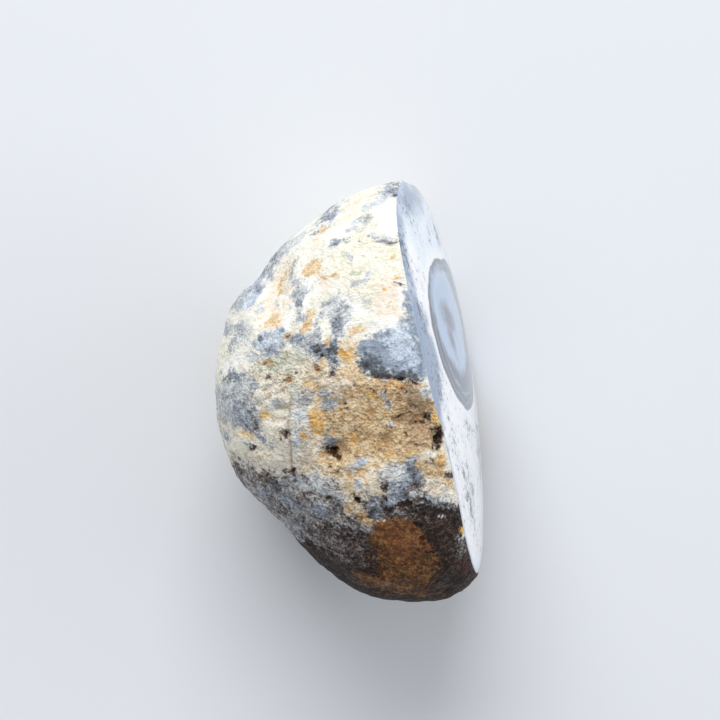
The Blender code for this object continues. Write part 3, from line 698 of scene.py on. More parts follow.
PITS = (
    Pit(315.5, 367, 4.6, 0.4), Pit(288, 378.6, 4.4, 0.35), Pit(270, 378.6, 3, 0.25), Pit(295.5, 373, 2.6, 0.25),
    Pit(263.5, 364, 3, 0.3), Pit(331, 373, 4, 0.35), Pit(338.6, 381, 2.6, 0.3), Pit(287, 337, 3.4, 0.3),
    Pit(284, 434, 4.4, 0.45), Pit(292, 471, 3.4, 0.5), Pit(294.4, 482, 3, 0.35), Pit(275.6, 482.5, 3, 0.3),
    Pit(329.6, 468, 3.2, 0.4), Pit(337, 473.5, 3.6, 0.4), Pit(328, 500, 5, 0.45), Pit(357.5, 501, 4.4, 0.5),
    Pit(384, 497.7, 3.4, 0.3), Pit(412, 532.5, 3, 0.35), Pit(422.7, 540, 3.8, 0.4), Pit(426, 417, 3.4, 0.4),
    Pit(411, 405, 3.4, 0.3), Pit(449.5, 474.5, 3.4, 0.35), Pit(334, 451, 5.4, 0.5), Pit(316, 351, 3, 0.3),
    Pit(437, 438, 4.4, 0.45), Pit(386, 486, 3.4, 0.3), Pit(348, 409, 2.6, 0.25), Pit(355.6, 431, 2.4, 0.3),
    Pit(345, 403.6, 2.8, 0.3), Pit(379.4, 450.8, 2.4, 0.3), Pit(349, 258, 2.6, 0.1), Pit(365, 297, 3, 0.12),
    Pit(364.4, 230, 2.6, 0.1), Pit(393, 418.8, 3, 0.3), Pit(385, 571, 3.2, 0.3), Pit(382, 579.5, 2.8, 0.3),
    Pit(402, 378, 3.4, 0.4), Pit(366, 366, 4, 0.35), Pit(354, 385, 3, 0.3), Pit(398, 417, 3, 0.3),
)


@dataclass(frozen=True)
class Groove:
    """A crack or groove of the rind between two picture places, its half width and depth in millimetres."""

    start: Pair
    end: Pair
    half_width: float
    depth: float

    def distances(self, columns: Array, rows: Array) -> Array:
        """Return how far each picture place is from the groove, in millimetres.

        Args:
            columns: Picture columns.
            rows: Picture rows.

        Returns:
            Distances from the groove's line.
        """
        run = np.array(self.end) - np.array(self.start)
        offsets = np.stack([columns - self.start[0], rows - self.start[1]], axis=1)
        share = np.clip(offsets @ run / (run @ run), 0.0, 1.0)
        return np.linalg.norm(offsets - share[:, None] * run, axis=1) / PICTURE_MM


GROOVES = (
    Groove((372, 240), (386, 243), 0.25, 0.25),
    Groove((386, 243), (400, 243), 0.3, 0.3),
    Groove((395, 286), (406, 285), 0.2, 0.2),
    Groove((291, 396), (287, 424), 0.22, 0.22),
    Groove((287, 424), (290, 446), 0.24, 0.26),
    Groove((290, 446), (291, 468), 0.24, 0.26),
    Groove((262, 391), (271, 386), 0.26, 0.24),
    Groove((276, 394), (286, 388), 0.26, 0.22),
    Groove((264, 399), (270, 396), 0.26, 0.22),
    Groove((310, 380), (322, 376), 0.24, 0.22),
    Groove((317, 383), (318, 392), 0.2, 0.2),
    Groove((276, 409), (288, 408), 0.22, 0.2),
    Groove((344, 470), (352, 478), 0.26, 0.24),
    Groove((404, 470), (420, 473), 0.24, 0.22),
    Groove((426, 463), (444, 468), 0.26, 0.26),
    Groove((338, 404), (352, 400), 0.22, 0.2),
    Groove((400, 400), (414, 404), 0.24, 0.24),
    Groove((404, 424), (424, 424), 0.24, 0.2),
    Groove((372, 376), (400, 378), 0.35, 0.4),
)


class Tone(Enum):
    """The tones of the polished face: the plain one, and then the first laid to the last. The rim shade tone is
    painted shade along the rim.
    """

    ICE = "ice"
    # Painted shade along the face's rounded rim
    RIM_SHADE = "haze"
    MILK = "milk"
    RING = "ring"
    LENS = "lens"
    CORE = "core"

    @property
    def number(self) -> str:
        """Return the name of the number that the mesh keeps for this tone."""
        return f"tone_{self.value}"


@dataclass(frozen=True)
class Tint:
    """How one tone of the polished face looks, and how softly its edge fades, in millimetres."""

    colour: Colour
    soft: float
    wobble: float


TINTS = {
    Tone.ICE: Tint(paint(234, 244, 253), 1.0, 1.0),
    # Painted shade along the rim:
    Tone.RIM_SHADE: Tint(paint(154, 170, 193), 1.6, 2.6),
    Tone.MILK: Tint(paint(253, 253, 255), 0.9, 2.2),
    Tone.RING: Tint(paint(104, 111, 122), 0.18, 0.5),
    Tone.LENS: Tint(paint(178, 197, 223), 0.9, 1.4),
    Tone.CORE: Tint(paint(124, 128, 140), 1.2, 2.0),
}


@dataclass(frozen=True)
class FacePatch:
    """A patch of the polished face: its middle and half sizes in millimetres along Y and Z, and its turn."""

    y: float
    z: float
    half_length: float
    half_height: float
    turn: float

    def inside(self, points: Array) -> Array:
        """Return about how far inside the patch each point is, in millimetres."""
        across, up = points[:, 1] - self.y, points[:, 2] - self.z
        return ellipse_inside(across, up, self.half_length, self.half_height, self.turn)


@dataclass(frozen=True)
class Cloud(FacePatch):
    """A patch of one tone."""

    tone: Tone


CLOUDS = (
    # The first six clouds are painted shade along the face's rounded rim
    Cloud(4.5, 33.6, 9.6, 4.2, 4, Tone.RIM_SHADE),
    Cloud(20.0, 31.0, 5.0, 1.6, -30, Tone.RIM_SHADE),
    Cloud(15.0, 32.4, 6.0, 1.8, -16, Tone.RIM_SHADE),
    Cloud(24.8, 21.0, 2.4, 7.5, 12, Tone.RIM_SHADE),
    Cloud(-20.0, 10.0, 4.0, 5.0, -30, Tone.RIM_SHADE),
    Cloud(14.0, 3.0, 9.0, 2.4, 14, Tone.RIM_SHADE),
    Cloud(14.0, 29.5, 5.0, 2.6, -12, Tone.MILK),
    Cloud(-8.0, 22.0, 14.0, 12.0, 12, Tone.MILK),
    Cloud(7.2, 17.0, 10.9, 14.2, 8, Tone.MILK),
    Cloud(9.8, 12.0, 7.2, 8.8, 18, Tone.RING),
    Cloud(7.2, 16.7, 9.7, 13.1, 8, Tone.RING),
    Cloud(9.0, 18.0, 6.7, 9.2, 4, Tone.LENS),
    Cloud(9.2, 19.8, 1.9, 3.0, -8, Tone.CORE),
    Cloud(6.6, 20.8, 2.2, 1.2, 20, Tone.CORE),
)


@dataclass(frozen=True)
class Growth(FacePatch):
    """A patch where dendrites grow, and how densely, from 0 to 1."""

    density: float


GROWTHS = (
    Growth(17.0, 32.0, 6.5, 2.6, -16, 0.9),
    Growth(22.5, 25.0, 4.0, 5.0, 30, 0.7),
    Growth(9.0, 32.6, 5.0, 3.0, 4, 0.8),
    Growth(1.0, 32.4, 5.0, 3.4, 4, 0.8),
    Growth(-6.0, 30.6, 5.0, 3.0, 10, 0.75),
    Growth(-12.5, 25.5, 6.0, 4.6, 24, 0.8),
    Growth(-18.5, 17.0, 5.0, 6.0, 0, 0.6),
    Growth(-8.5, 12.5, 6.5, 5.0, -30, 0.85),
    Growth(-6.0, 20.5, 4.0, 5.0, 0, 0.6),
    Growth(-18.0, 23.0, 3.0, 3.0, 0, 0.7),
    Growth(20.5, 11.0, 3.6, 4.6, 0, 0.7),
    Growth(13.0, 3.4, 4.0, 2.0, 10, 0.5),
)


@dataclass(frozen=True)
class FaceDesign:
    """Lays the tones and the dendrites over the polished face, in millimetres and densities from 0 to 1."""

    far: float = 30.0
    plain_density: float = 0.42
    growth_soft: float = 3.2
    eye_margin: float = 1.0

    def tones(self, points: Array) -> dict[Tone, Array]:
        """Return each tone's field in millimetres, positive where that tone lies."""
        patches = [(cloud.tone, cloud.inside(points)) for cloud in CLOUDS]
        return laid(patches, Tone, len(points), self.far, 0.0)

    def densities(self, points: Array) -> Array:
        """Return how densely dendrites grow at each point, from 0 to 1.

        Args:
            points: Points of the face in millimetres.

        Returns:
            Densities, none of them inside the eye.
        """
        density = np.full(len(points), self.plain_density)
        for growth in GROWTHS:
            share = smooth_step(-self.growth_soft, self.growth_soft, growth.inside(points))
            density = np.maximum(density, growth.density * share)
        eye = np.max([cloud.inside(points) for cloud in CLOUDS if cloud.tone is Tone.RING], axis=0)
        return density * smooth_step(0.0, self.eye_margin, -eye)

    def spokes(self, points: Array) -> tuple[Array, Array]:
        """Return how far each point lies from the middle of the nearest growth.

        Args:
            points: Points of the face in millimetres.

        Returns:
            The offsets along Y, and those along Z.
        """
        middles = np.array([(growth.y, growth.z) for growth in GROWTHS])
        offsets = points[:, None, 1:] - middles[None]
        nearest = offsets[np.arange(len(points)), np.linalg.norm(offsets, axis=2).argmin(axis=1)]
        return nearest[:, 0], nearest[:, 1]


@dataclass(frozen=True)
class SideStain:
    """One patch of ground on the sides that the eye point doesn't see: its middle and radius in millimetres."""

    zone: Zone
    middle: Triple
    radius: float

    def inside(self, points: Array) -> Array:
        """Return about how far inside the patch each point is, in picture columns."""
        distances = np.linalg.norm(points - np.array(self.middle), axis=1)
        return (self.radius - distances) * PICTURE_MM


# The sides' large grounds, and the grounds drawn for them by height: one named twice is drawn twice as often
SIDE_BASES = (
    SideStain(Zone.SHALE, (2.0, -32.0, 8.0), 22.0),
    SideStain(Zone.SAND, (-16.0, -1.0, 4.0), 13.0),
    SideStain(Zone.GRIT, (-2.0, -17.0, 8.0), 12.0),
    SideStain(Zone.GRAPHITE, (4.0, -25.0, 9.0), 15.0),
    SideStain(Zone.BLACK, (10.0, -24.0, 14.0), 9.0),
)
UPPER_GROUNDS = (
    Zone.WHITE, Zone.STRAW, Zone.PEACH, Zone.PEARL, Zone.SLATE, Zone.SKY, Zone.CREAM, Zone.TAN,
)
MIDDLE_GROUNDS = (
    Zone.SAND, Zone.OCHRE, Zone.TAN, Zone.SLATE, Zone.PUTTY, Zone.SAND, Zone.PEARL, Zone.ORANGE, Zone.GRIT,
)
LOWER_GROUNDS = (
    Zone.GRIT, Zone.GRAPHITE, Zone.BLACK, Zone.STEEL, Zone.SLATE, Zone.GRIT, Zone.BROWN, Zone.BLACK,
    Zone.MAROON, Zone.GRAPHITE, Zone.STEEL, Zone.BLACK, Zone.MIST,
)


@dataclass(frozen=True)
class Markings:
    """Lays the stains over the rind, as one field in picture columns for each kind of ground.

    The seen side's stains and the sides' meet at the seam, a ragged range of heights in millimetres, and the
    welt keeps the grounds from thinning there.
    """

    seed: int = 11
    side_count: int = 280
    side_radii: Pair = (5.0, 0.8)
    side_warp: tuple[Pair, ...] = ((7.0, 3.4), (2.6, 1.5))
    upper_from: float = 10.0
    middle_from: float = -8.0
    level_spread: float = 2.5
    side_sizes: Pair = (0.7, 1.2)
    warp: tuple[Pair, ...] = ((4.0, 0.7), (1.6, 0.5))
    far: float = 40.0
    overlap: float = 8.0
    limit: float = 14.0
    welt: float = 20.0
    seam: Pair = (14.0, 20.0)
    seam_waves: Pair = (8.0, 5.5)
    seam_shift: float = 71.0

    def side_stains(self, form: StoneForm) -> list[SideStain]:
        """Return seeded patches for the sides, in the grounds that the seen side has at each height.

        Args:
            form: The stone's form.

        Returns:
            The patches, the large ones first.
        """
        dice = random.Random(self.seed)
        large, small = self.side_radii
        stains = list(SIDE_BASES)
        for index in range(self.side_count):
            direction = np.array([[dice.gauss(0, 1), dice.gauss(0, 1), -abs(dice.gauss(0, 1))]])
            direction /= np.linalg.norm(direction)
            point = np.array(form.middle) + direction[0] * form.plain_rind(direction)[0]
            level = point[1] + dice.gauss(0, self.level_spread)
            grounds = LOWER_GROUNDS
            if level > self.upper_from:
                grounds = UPPER_GROUNDS
            elif level > self.middle_from:
                grounds = MIDDLE_GROUNDS
            radius = large - (large - small) * math.sqrt(index / self.side_count)
            ground = dice.choice(grounds)
            stains.append(SideStain(ground, tuple(point), radius * dice.uniform(*self.side_sizes)))
        return stains

    def fields(self, form: StoneForm, points: Array) -> dict[Zone, Array]:
        """Return each ground's field, positive where that ground lies.

        Args:
            form: The stone's form.
            points: Points of the rind in millimetres.

        Returns:
            A field in picture columns for each kind of ground.
        """
        shifted = moved(points, self.warp)
        aside = moved(points, self.side_warp)
        columns, rows = picture_places(shifted)
        seen_patches = [(stain.zone, stain.inside(columns, rows)) for stain in STAINS]
        side_patches = [(stain.zone, stain.inside(aside)) for stain in self.side_stains(form)]
        seen = laid(seen_patches, Zone, len(points), self.far, self.overlap)
        sides = laid(side_patches, Zone, len(points), self.far, self.overlap)
        wavelength, reach = self.seam_waves
        share = smooth_step(*self.seam, shifted[:, 2] + reach * waves(points, wavelength, self.seam_shift))
        both = {}
        for zone in Zone:
            near, far = (np.clip(field[zone], -self.limit, self.limit) for field in (seen, sides))
            both[zone] = near * share + far * (1.0 - share) + self.welt * share * (1.0 - share)
        return both


@dataclass(frozen=True)
class Relief:
    """The fine relief of the rind, in millimetres."""

    grain: tuple[Pair, ...] = ((2.4, 0.24), (1.1, 0.19), (0.6, 0.12))
    grain_shift: float = 40.0
    stretch: Triple = (0.85, 1.0, 1.0)
    ground_edge: float = 4.0
    least_weight: float = 1e-6
    smooth_share: float = 0.2
    seen_from: float = 16.0
    pit_edge: Pair = (0.2, 1.2)
    groove_edge: Pair = (0.2, 1.4)
    pit_count: int = 420
    pit_seed: int = 5
    pit_radii: Pair = (0.35, 0.95)
    pit_steepness: float = 0.42
    pit_reach: float = 2.0
    pit_stretch: Triple = (0.7, 1.0, 1.0)

    def coarseness(self, fields: dict[Zone, Array]) -> Array:
        """Return how coarse the rind is at each point, from its grounds.

        Args:
            fields: The grounds' fields.

        Returns:
            Coarseness from 0 to 1.
        """
        total = np.zeros_like(fields[Zone.CREAM])
        weight = np.full_like(total, self.least_weight)
        for zone, field in fields.items():
            share = smooth_step(-self.ground_edge, self.ground_edge, field)
            total += share * GROUNDS[zone].coarse
            weight += share
        return total / weight

    def heights(self, points: Array, coarse: Array) -> Array:
        """Return how far the grain raises or lowers each point.

        Args:
            points: Points of the rind in millimetres.
            coarse: How coarse the rind is at each point.

        Returns:
            Heights in millimetres.
        """
        stretched = points * np.array(self.stretch)
        height = sum(reach * waves(stretched, wavelength, self.grain_shift) for wavelength, reach in self.grain)
        return height * (self.smooth_share + (1.0 - self.smooth_share) * coarse)

    def pit_depths(self, points: Array, coarse: Array) -> Array:
        """Return how deep in a pit or groove each point lies.

        Args:
            points: Points of the rind in millimetres.
            coarse: How coarse the rind is at each point.

        Returns:
            Depths in millimetres.
        """
        columns, rows = picture_places(points)
        seen = points[:, 2] > self.seen_from
        depths = self.scattered(points) * coarse
        for pit in PITS:
            reach = np.hypot(columns - pit.column, rows - pit.row) / pit.radius
            depths = np.maximum(depths, seen * pit.depth * (1.0 - smooth_step(*self.pit_edge, reach)))
        for groove in GROOVES:
            reach = groove.distances(columns, rows) / groove.half_width
            depths = np.maximum(depths, seen * groove.depth * (1.0 - smooth_step(*self.groove_edge, reach)))
        return depths

    def scattered(self, points: Array) -> Array:
        """Return the depths of small pits that are scattered all over the rind by a seed.

        Args:
            points: Points of the rind in millimetres.

        Returns:
            Depths in millimetres.
        """
        dice = np.random.default_rng(self.pit_seed)
        picks = dice.choice(len(points), self.pit_count, replace=False)
        depths = np.zeros(len(points))
        for pick in picks:
            radius = dice.uniform(*self.pit_radii)
            near = np.abs(points[:, 0] - points[pick, 0]) < self.pit_reach * radius
            offsets = (points[near] - points[pick]) * np.array(self.pit_stretch)
            reach = np.linalg.norm(offsets, axis=1) / radius
            depth = self.pit_steepness * radius * (1.0 - smooth_step(*self.pit_edge, reach))
            depths[near] = np.maximum(depths[near], depth)
        return depths


class Signal:
    """A number that changes over a surface: a node's output that takes part in sums."""

    def __init__(self, bench: "Bench", socket: bpy.types.NodeSocket) -> None:
        """Keep the bench and the socket."""
        self.bench = bench
        self.socket = socket

    def math(self, operation: str, first: "Number", second: "Number" = 0.0) -> "Signal":
        """Return a Math node's output for two numbers or signals."""
        node = self.bench.node("ShaderNodeMath", {"operation": operation}, {0: first, 1: second})
        return Signal(self.bench, node.outputs[0])

    def __add__(self, other: "Number") -> "Signal":
        """Return the sum."""
        return self.math("ADD", self, other)

    def __radd__(self, other: "Number") -> "Signal":
        """Return the sum, the other way round."""
        return self.math("ADD", other, self)

    def __sub__(self, other: "Number") -> "Signal":
        """Return the difference."""
        return self.math("SUBTRACT", self, other)

    def __rsub__(self, other: "Number") -> "Signal":
        """Return the difference, the other way round."""
        return self.math("SUBTRACT", other, self)

    def __mul__(self, other: "Number") -> "Signal":
        """Return the product."""
        return self.math("MULTIPLY", self, other)

    def __rmul__(self, other: "Number") -> "Signal":
        """Return the product, the other way round."""
        return self.math("MULTIPLY", other, self)

    def __truediv__(self, other: "Number") -> "Signal":
        """Return the quotient."""
        return self.math("DIVIDE", self, other)

    def __rtruediv__(self, other: "Number") -> "Signal":
        """Return the quotient, the other way round."""
        return self.math("DIVIDE", other, self)

    def root(self) -> "Signal":
        """Return the square root."""
        return self.math("SQRT", self)

    def highest(self, other: "Number") -> "Signal":
        """Return the larger of the two."""
        return self.math("MAXIMUM", self, other)

    def rise(self, low: "Number", high: "Number") -> "Signal":
        """Return 0 below low, 1 above high and a smooth rise between them.

        Args:
            low: Where the rise starts.
            high: Where the rise ends, which may be below low for a fall.

        Returns:
            The share of the rise.
        """
        settings = {"interpolation_type": "SMOOTHSTEP"}
        sockets = {"Value": self, "From Min": low, "From Max": high}
        node = self.bench.node("ShaderNodeMapRange", settings, sockets)
        return Signal(self.bench, node.outputs[0])


Number = Union[float, Signal]
Link = Union[float, Sequence[float], Signal, bpy.types.NodeSocket]


@dataclass(frozen=True)
class Grain:
    """One noise: its largest wavelength in millimetres, its finer octaves, their strength, its distortion."""

    wavelength: float
    detail: float
    rough: float
    twist: float = 0.0


class Bench:
    """Lays out the nodes of one material."""

    def __init__(self, name: str) -> None:
        """Make a node material with a Principled shader and its output.

        Args:
            name: The material's name.
        """
        self.material = bpy.data.materials.new(name)
        self.material.use_nodes = True
        self.tree = self.material.node_tree
        self.shader = self.tree.nodes["Principled BSDF"]

    def node(
        self, kind: str, settings: Optional[dict] = None, sockets: Optional[dict] = None
    ) -> bpy.types.Node:
        """Add a node, set it up and feed its sockets.

        Args:
            kind: The node's type.
            settings: The node's own settings, which are set first.
            sockets: Values or links by the name, identifier or number of each input.

        Returns:
            The node.
        """
        node = self.tree.nodes.new(kind)
        for name, value in (settings or {}).items():
            setattr(node, name, value)
        for key, value in (sockets or {}).items():
            self.feed(self.input_of(node, key), value)
        return node

    @staticmethod
    def input_of(node: bpy.types.Node, key: Union[int, str]) -> bpy.types.NodeSocket:
        """Return one of a node's inputs.

        Args:
            node: The node.
            key: The input's number, identifier or name.

        Returns:
            The input.
        """
        if isinstance(key, int):
            return node.inputs[key]
        matches = [socket for socket in node.inputs if socket.identifier == key]
        return matches[0] if matches else node.inputs[key]

    def feed(self, socket: bpy.types.NodeSocket, value: Link) -> None:
        """Set or link one input socket.

        Args:
            socket: The input.
            value: A number, a colour or vector, a signal or an output.
        """
        if isinstance(value, Signal):
            self.tree.links.new(value.socket, socket)
        elif isinstance(value, bpy.types.NodeSocket):
            self.tree.links.new(value, socket)
        elif isinstance(value, (int, float)):
            socket.default_value = float(value)
        elif len(value) < len(socket.default_value):
            socket.default_value = (*value, 1.0)
        else:
            socket.default_value = value

    def dress(self, **values: Link) -> None:
        """Feed the shader's own sockets, named with underscores for spaces."""
        for name, value in values.items():
            self.feed(self.shader.inputs[name.replace("_", " ")], value)

    def number(self, name: str) -> Signal:
        """Return a number that the mesh keeps at each of its points."""
        node = self.node("ShaderNodeAttribute", {"attribute_name": name})
        return Signal(self, node.outputs["Fac"])

    def millimetres(self, stretch: Triple = (1.0, 1.0, 1.0), shift: float = 0.0) -> bpy.types.NodeSocket:
        """Return the place on the object in millimetres, for a noise.

        Args:
            stretch: What each axis is multiplied by.
            shift: How far the place is moved along every axis.

        Returns:
            The place.
        """
        place = self.node("ShaderNodeTexCoord").outputs["Object"]
        scale = tuple(share / MM for share in stretch)
        sockets = {0: place, 1: scale, 2: (shift, shift, shift)}
        return self.node("ShaderNodeVectorMath", {"operation": "MULTIPLY_ADD"}, sockets).outputs[0]

    def noise(self, place: Link, grain: Grain) -> bpy.types.Node:
        """Add a Noise node.

        Args:
            place: The place in millimetres.
            grain: The noise's sizes.

        Returns:
            The node.
        """
        sockets = {"Vector": place, "Scale": 1.0 / grain.wavelength, "Detail": grain.detail}
        sockets.update(Roughness=grain.rough, Distortion=grain.twist)
        return self.node("ShaderNodeTexNoise", {}, sockets)

    def grain(self, place: Link, grain: Grain) -> Signal:
        """Return noise from 0 to 1 at a place in millimetres."""
        return Signal(self, self.noise(place, grain).outputs["Fac"])

    def cells(self, place: Link, size: float) -> tuple[Signal, Signal]:
        """Return how far each place is from the middle of its grain, and a number for each grain.

        Args:
            place: The place in millimetres.
            size: The grains' size in millimetres.

        Returns:
            The distance in grain sizes, and a number from 0 to 1 that is the same all over a grain.
        """
        node = self.node("ShaderNodeTexVoronoi", {"feature": "F1"}, {"Vector": place, "Scale": 1.0 / size})
        return Signal(self, node.outputs["Distance"]), Signal(self, node.outputs["Color"])

    def twisted(self, place: Link, grain: Grain, reach: float) -> bpy.types.NodeSocket:
        """Return the place moved by noise.

        Args:
            place: The place in millimetres.
            grain: The noise's sizes.
            reach: How far a place can be moved in millimetres.

        Returns:
            The moved place.
        """
        sockets = {0: self.noise(place, grain).outputs["Color"], 1: (reach, reach, reach), 2: place}
        return self.node("ShaderNodeVectorMath", {"operation": "MULTIPLY_ADD"}, sockets).outputs[0]

    def mix(self, share: Number, first: Link, second: Link, blend: str = "MIX") -> bpy.types.NodeSocket:
        """Return a colour between two others.

        Args:
            share: The second colour's share.
            first: The first colour.
            second: The second colour.
            blend: The Mix node's blend type.

        Returns:
            The mixed colour.
        """
        settings = {"data_type": "RGBA", "blend_type": blend}
        sockets = {"Factor_Float": share, "A_Color": first, "B_Color": second}
        node = self.node("ShaderNodeMix", settings, sockets)
        return next(socket for socket in node.outputs if socket.identifier == "Result_Color")

    def tinted(self, share: Number, colour: Link, tint: Colour) -> bpy.types.NodeSocket:
        """Return a colour that a tint darkens where its share is high."""
        return self.mix(share, colour, self.mix(1.0, colour, tint, "MULTIPLY"))

    def bump(self, height: Signal, reach: float) -> bpy.types.NodeSocket:
        """Return a normal for a height from 0 to 1, with its full reach in millimetres."""
        sockets = {"Strength": 1.0, "Distance": reach * MM, "Height": height}
        return self.node("ShaderNodeBump", {}, sockets).outputs[0]


@dataclass(frozen=True)
class RindFinish:
    """The rough rind: patches of ground with ragged edges, each with its own dark and light grains, which are
    partly painted shade and painted light. Its pits, grooves and the gaps between its grit grains are darkened
    with painted shade.

    A share is how strongly something acts, and a pair is the range over which it sets in.
    """

    fine: Grain = Grain(0.55, 2.5, 0.6)
    fine_stretch: Triple = (0.85, 1.0, 1.0)
    fine_shift: float = 7.0
    small: Grain = Grain(0.28, 1.0, 0.5)
    broad: Grain = Grain(2.2, 4.0, 0.6, 0.4)
    grit_size: float = 0.42
    grit_twist: Grain = Grain(0.7, 3.0, 0.6)
    grit_twist_reach: float = 0.45
    gritty_range: Pair = (0.25, 0.95)
    fine_share: float = 0.55
    small_share: float = 0.45
    broad_share: float = 0.4
    grit_share: float = 0.14
    calm_range: Pair = (0.0, 0.6)
    calm_share: float = 0.45
    dark_range: Pair = (0.48, 0.41)
    light_range: Pair = (0.52, 0.60)
    edge: float = 3.6
    ragged: Grain = Grain(1.5, 4.0, 0.64)
    ragged_reach: float = 26.0
    frayed: Grain = Grain(0.4, 1.0, 0.5)
    frayed_reach: float = 16.0
    drift: Grain = Grain(1.3, 3.0, 0.6)
    drift_stretch: Triple = (0.8, 1.0, 1.0)
    drift_range: Pair = (0.5, 0.64)
    drift_coarse: Pair = (0.3, 0.9)
    drift_share: float = 0.45
    drift_tints: tuple[tuple[float, Colour], ...] = ((31.0, paint(255, 214, 160)), (47.0, paint(198, 202, 204)))
    # Painted shade: the gaps between grit grains and the pits and grooves are darkened toward the pit shade
    # colour
    gap_shade_range: Pair = (0.4, 0.95)
    gap_shade_share: float = 0.45
    pit_shade_range: Pair = (0.03, 0.4)
    pit_shade_share: float = 0.75
    pit_shade: Colour = paint(158, 124, 98)
    fine_height: float = 0.65
    small_height: float = 0.2
    smooth_height: float = 0.1
    grit_height: float = 0.26
    broad_height: float = 0.15
    bump_reach: float = 1.1
    roughness: float = 0.5
    coarse_roughness: float = 0.3
    specular: float = 0.25

    def material(self) -> bpy.types.Material:
        """Make the rind's material.

        Returns:
            The material.
        """
        bench = Bench("weathered_rind")
        place = bench.millimetres()
        coarse = bench.number("coarseness")
        fine = bench.grain(bench.millimetres(self.fine_stretch, self.fine_shift), self.fine)
        small = bench.grain(place, self.small)
        broad = bench.grain(place, self.broad)
        gritty = coarse.rise(*self.gritty_range)
        far, pick = bench.cells(bench.twisted(place, self.grit_twist, self.grit_twist_reach), self.grit_size)
        level = fine * self.fine_share + small * self.small_share + (broad - NOISE_MEAN) * self.broad_share
        level = level + (pick - NOISE_MEAN) * (gritty * self.grit_share)
        calm = coarse.rise(*self.calm_range) * self.calm_share + (1.0 - self.calm_share)
        # The dark and light grains follow the low and high places of the bump's noise: partly real speckle,
        # partly painted shade and painted light
        dark = level.rise(*self.dark_range) * calm
        light = level.rise(*self.light_range) * calm
        colour = self.drifted(bench, self.patched(bench, dark, light), coarse)
        # Painted shade in the gaps between grit grains, in the pits and in the grooves
        gap_shade = far.rise(*self.gap_shade_range) * (gritty * self.gap_shade_share)
        hollow = (bench.number("pit_depth").rise(*self.pit_shade_range) * self.pit_shade_share).highest(gap_shade)
        relief = coarse * (1.0 - self.smooth_height) + self.smooth_height
        height = (fine * self.fine_height + small * self.small_height) * relief
        height = height - far * (gritty * self.grit_height) + broad * self.broad_height
        bench.dress(
            Base_Color=bench.tinted(hollow, colour, self.pit_shade),
            Roughness=coarse * self.coarse_roughness + self.roughness,
            Specular_IOR_Level=self.specular,
            Normal=bench.bump(height, self.bump_reach),
        )
        return bench.material

    def patched(self, bench: Bench, dark: Signal, light: Signal) -> bpy.types.NodeSocket:
        """Return the colour of the grounds, laid one over the other.

        Args:
            bench: The bench of the rind's material.
            dark: The share of the dark grains, partly painted shade in the grain's low places.
            light: The share of the light grains, partly painted light on its high places.

        Returns:
            The colour.
        """
        jags = {family: self.jag(bench, family) for family in Family}
        plain, *laid_over = Zone
        colour = self.ground(bench, plain, dark, light)
        for zone in laid_over:
            field = bench.number(zone.number) + jags[GROUNDS[zone].family]
            share = field.rise(-self.edge, self.edge)
            colour = bench.mix(share, colour, self.ground(bench, zone, dark, light))
        return colour

    def jag(self, bench: Bench, family: Family) -> Signal:
        """Return how far a family's borders are moved at each place.

        Args:
            bench: The bench of the rind's material.
            family: The family of grounds.

        Returns:
            The reach of the move in picture columns.
        """
        place = bench.millimetres(shift=family.value)
        ragged = bench.grain(place, self.ragged) - NOISE_MEAN
        frayed = bench.grain(place, self.frayed) - NOISE_MEAN
        return ragged * self.ragged_reach + frayed * self.frayed_reach

    def ground(self, bench: Bench, zone: Zone, dark: Signal, light: Signal) -> bpy.types.NodeSocket:
        """Return one ground's colour with its dark and light grains, which are partly painted shade and painted
        light.
        """
        finish = GROUNDS[zone]
        return bench.mix(light, bench.mix(dark, finish.tone, finish.dark), finish.light)

    def drifted(self, bench: Bench, colour: Link, coarse: Signal) -> Link:
        """Return the colour with warm and cool drifts over the coarse grounds.

        Args:
            bench: The bench of the rind's material.
            colour: The colour so far.
            coarse: How coarse the rind is.

        Returns:
            The colour with its drifts.
        """
        for shift, tint in self.drift_tints:
            patchy = bench.grain(bench.millimetres(self.drift_stretch, shift), self.drift)
            share = patchy.rise(*self.drift_range) * (coarse.rise(*self.drift_coarse) * self.drift_share)
            colour = bench.tinted(share, colour, tint)
        return colour


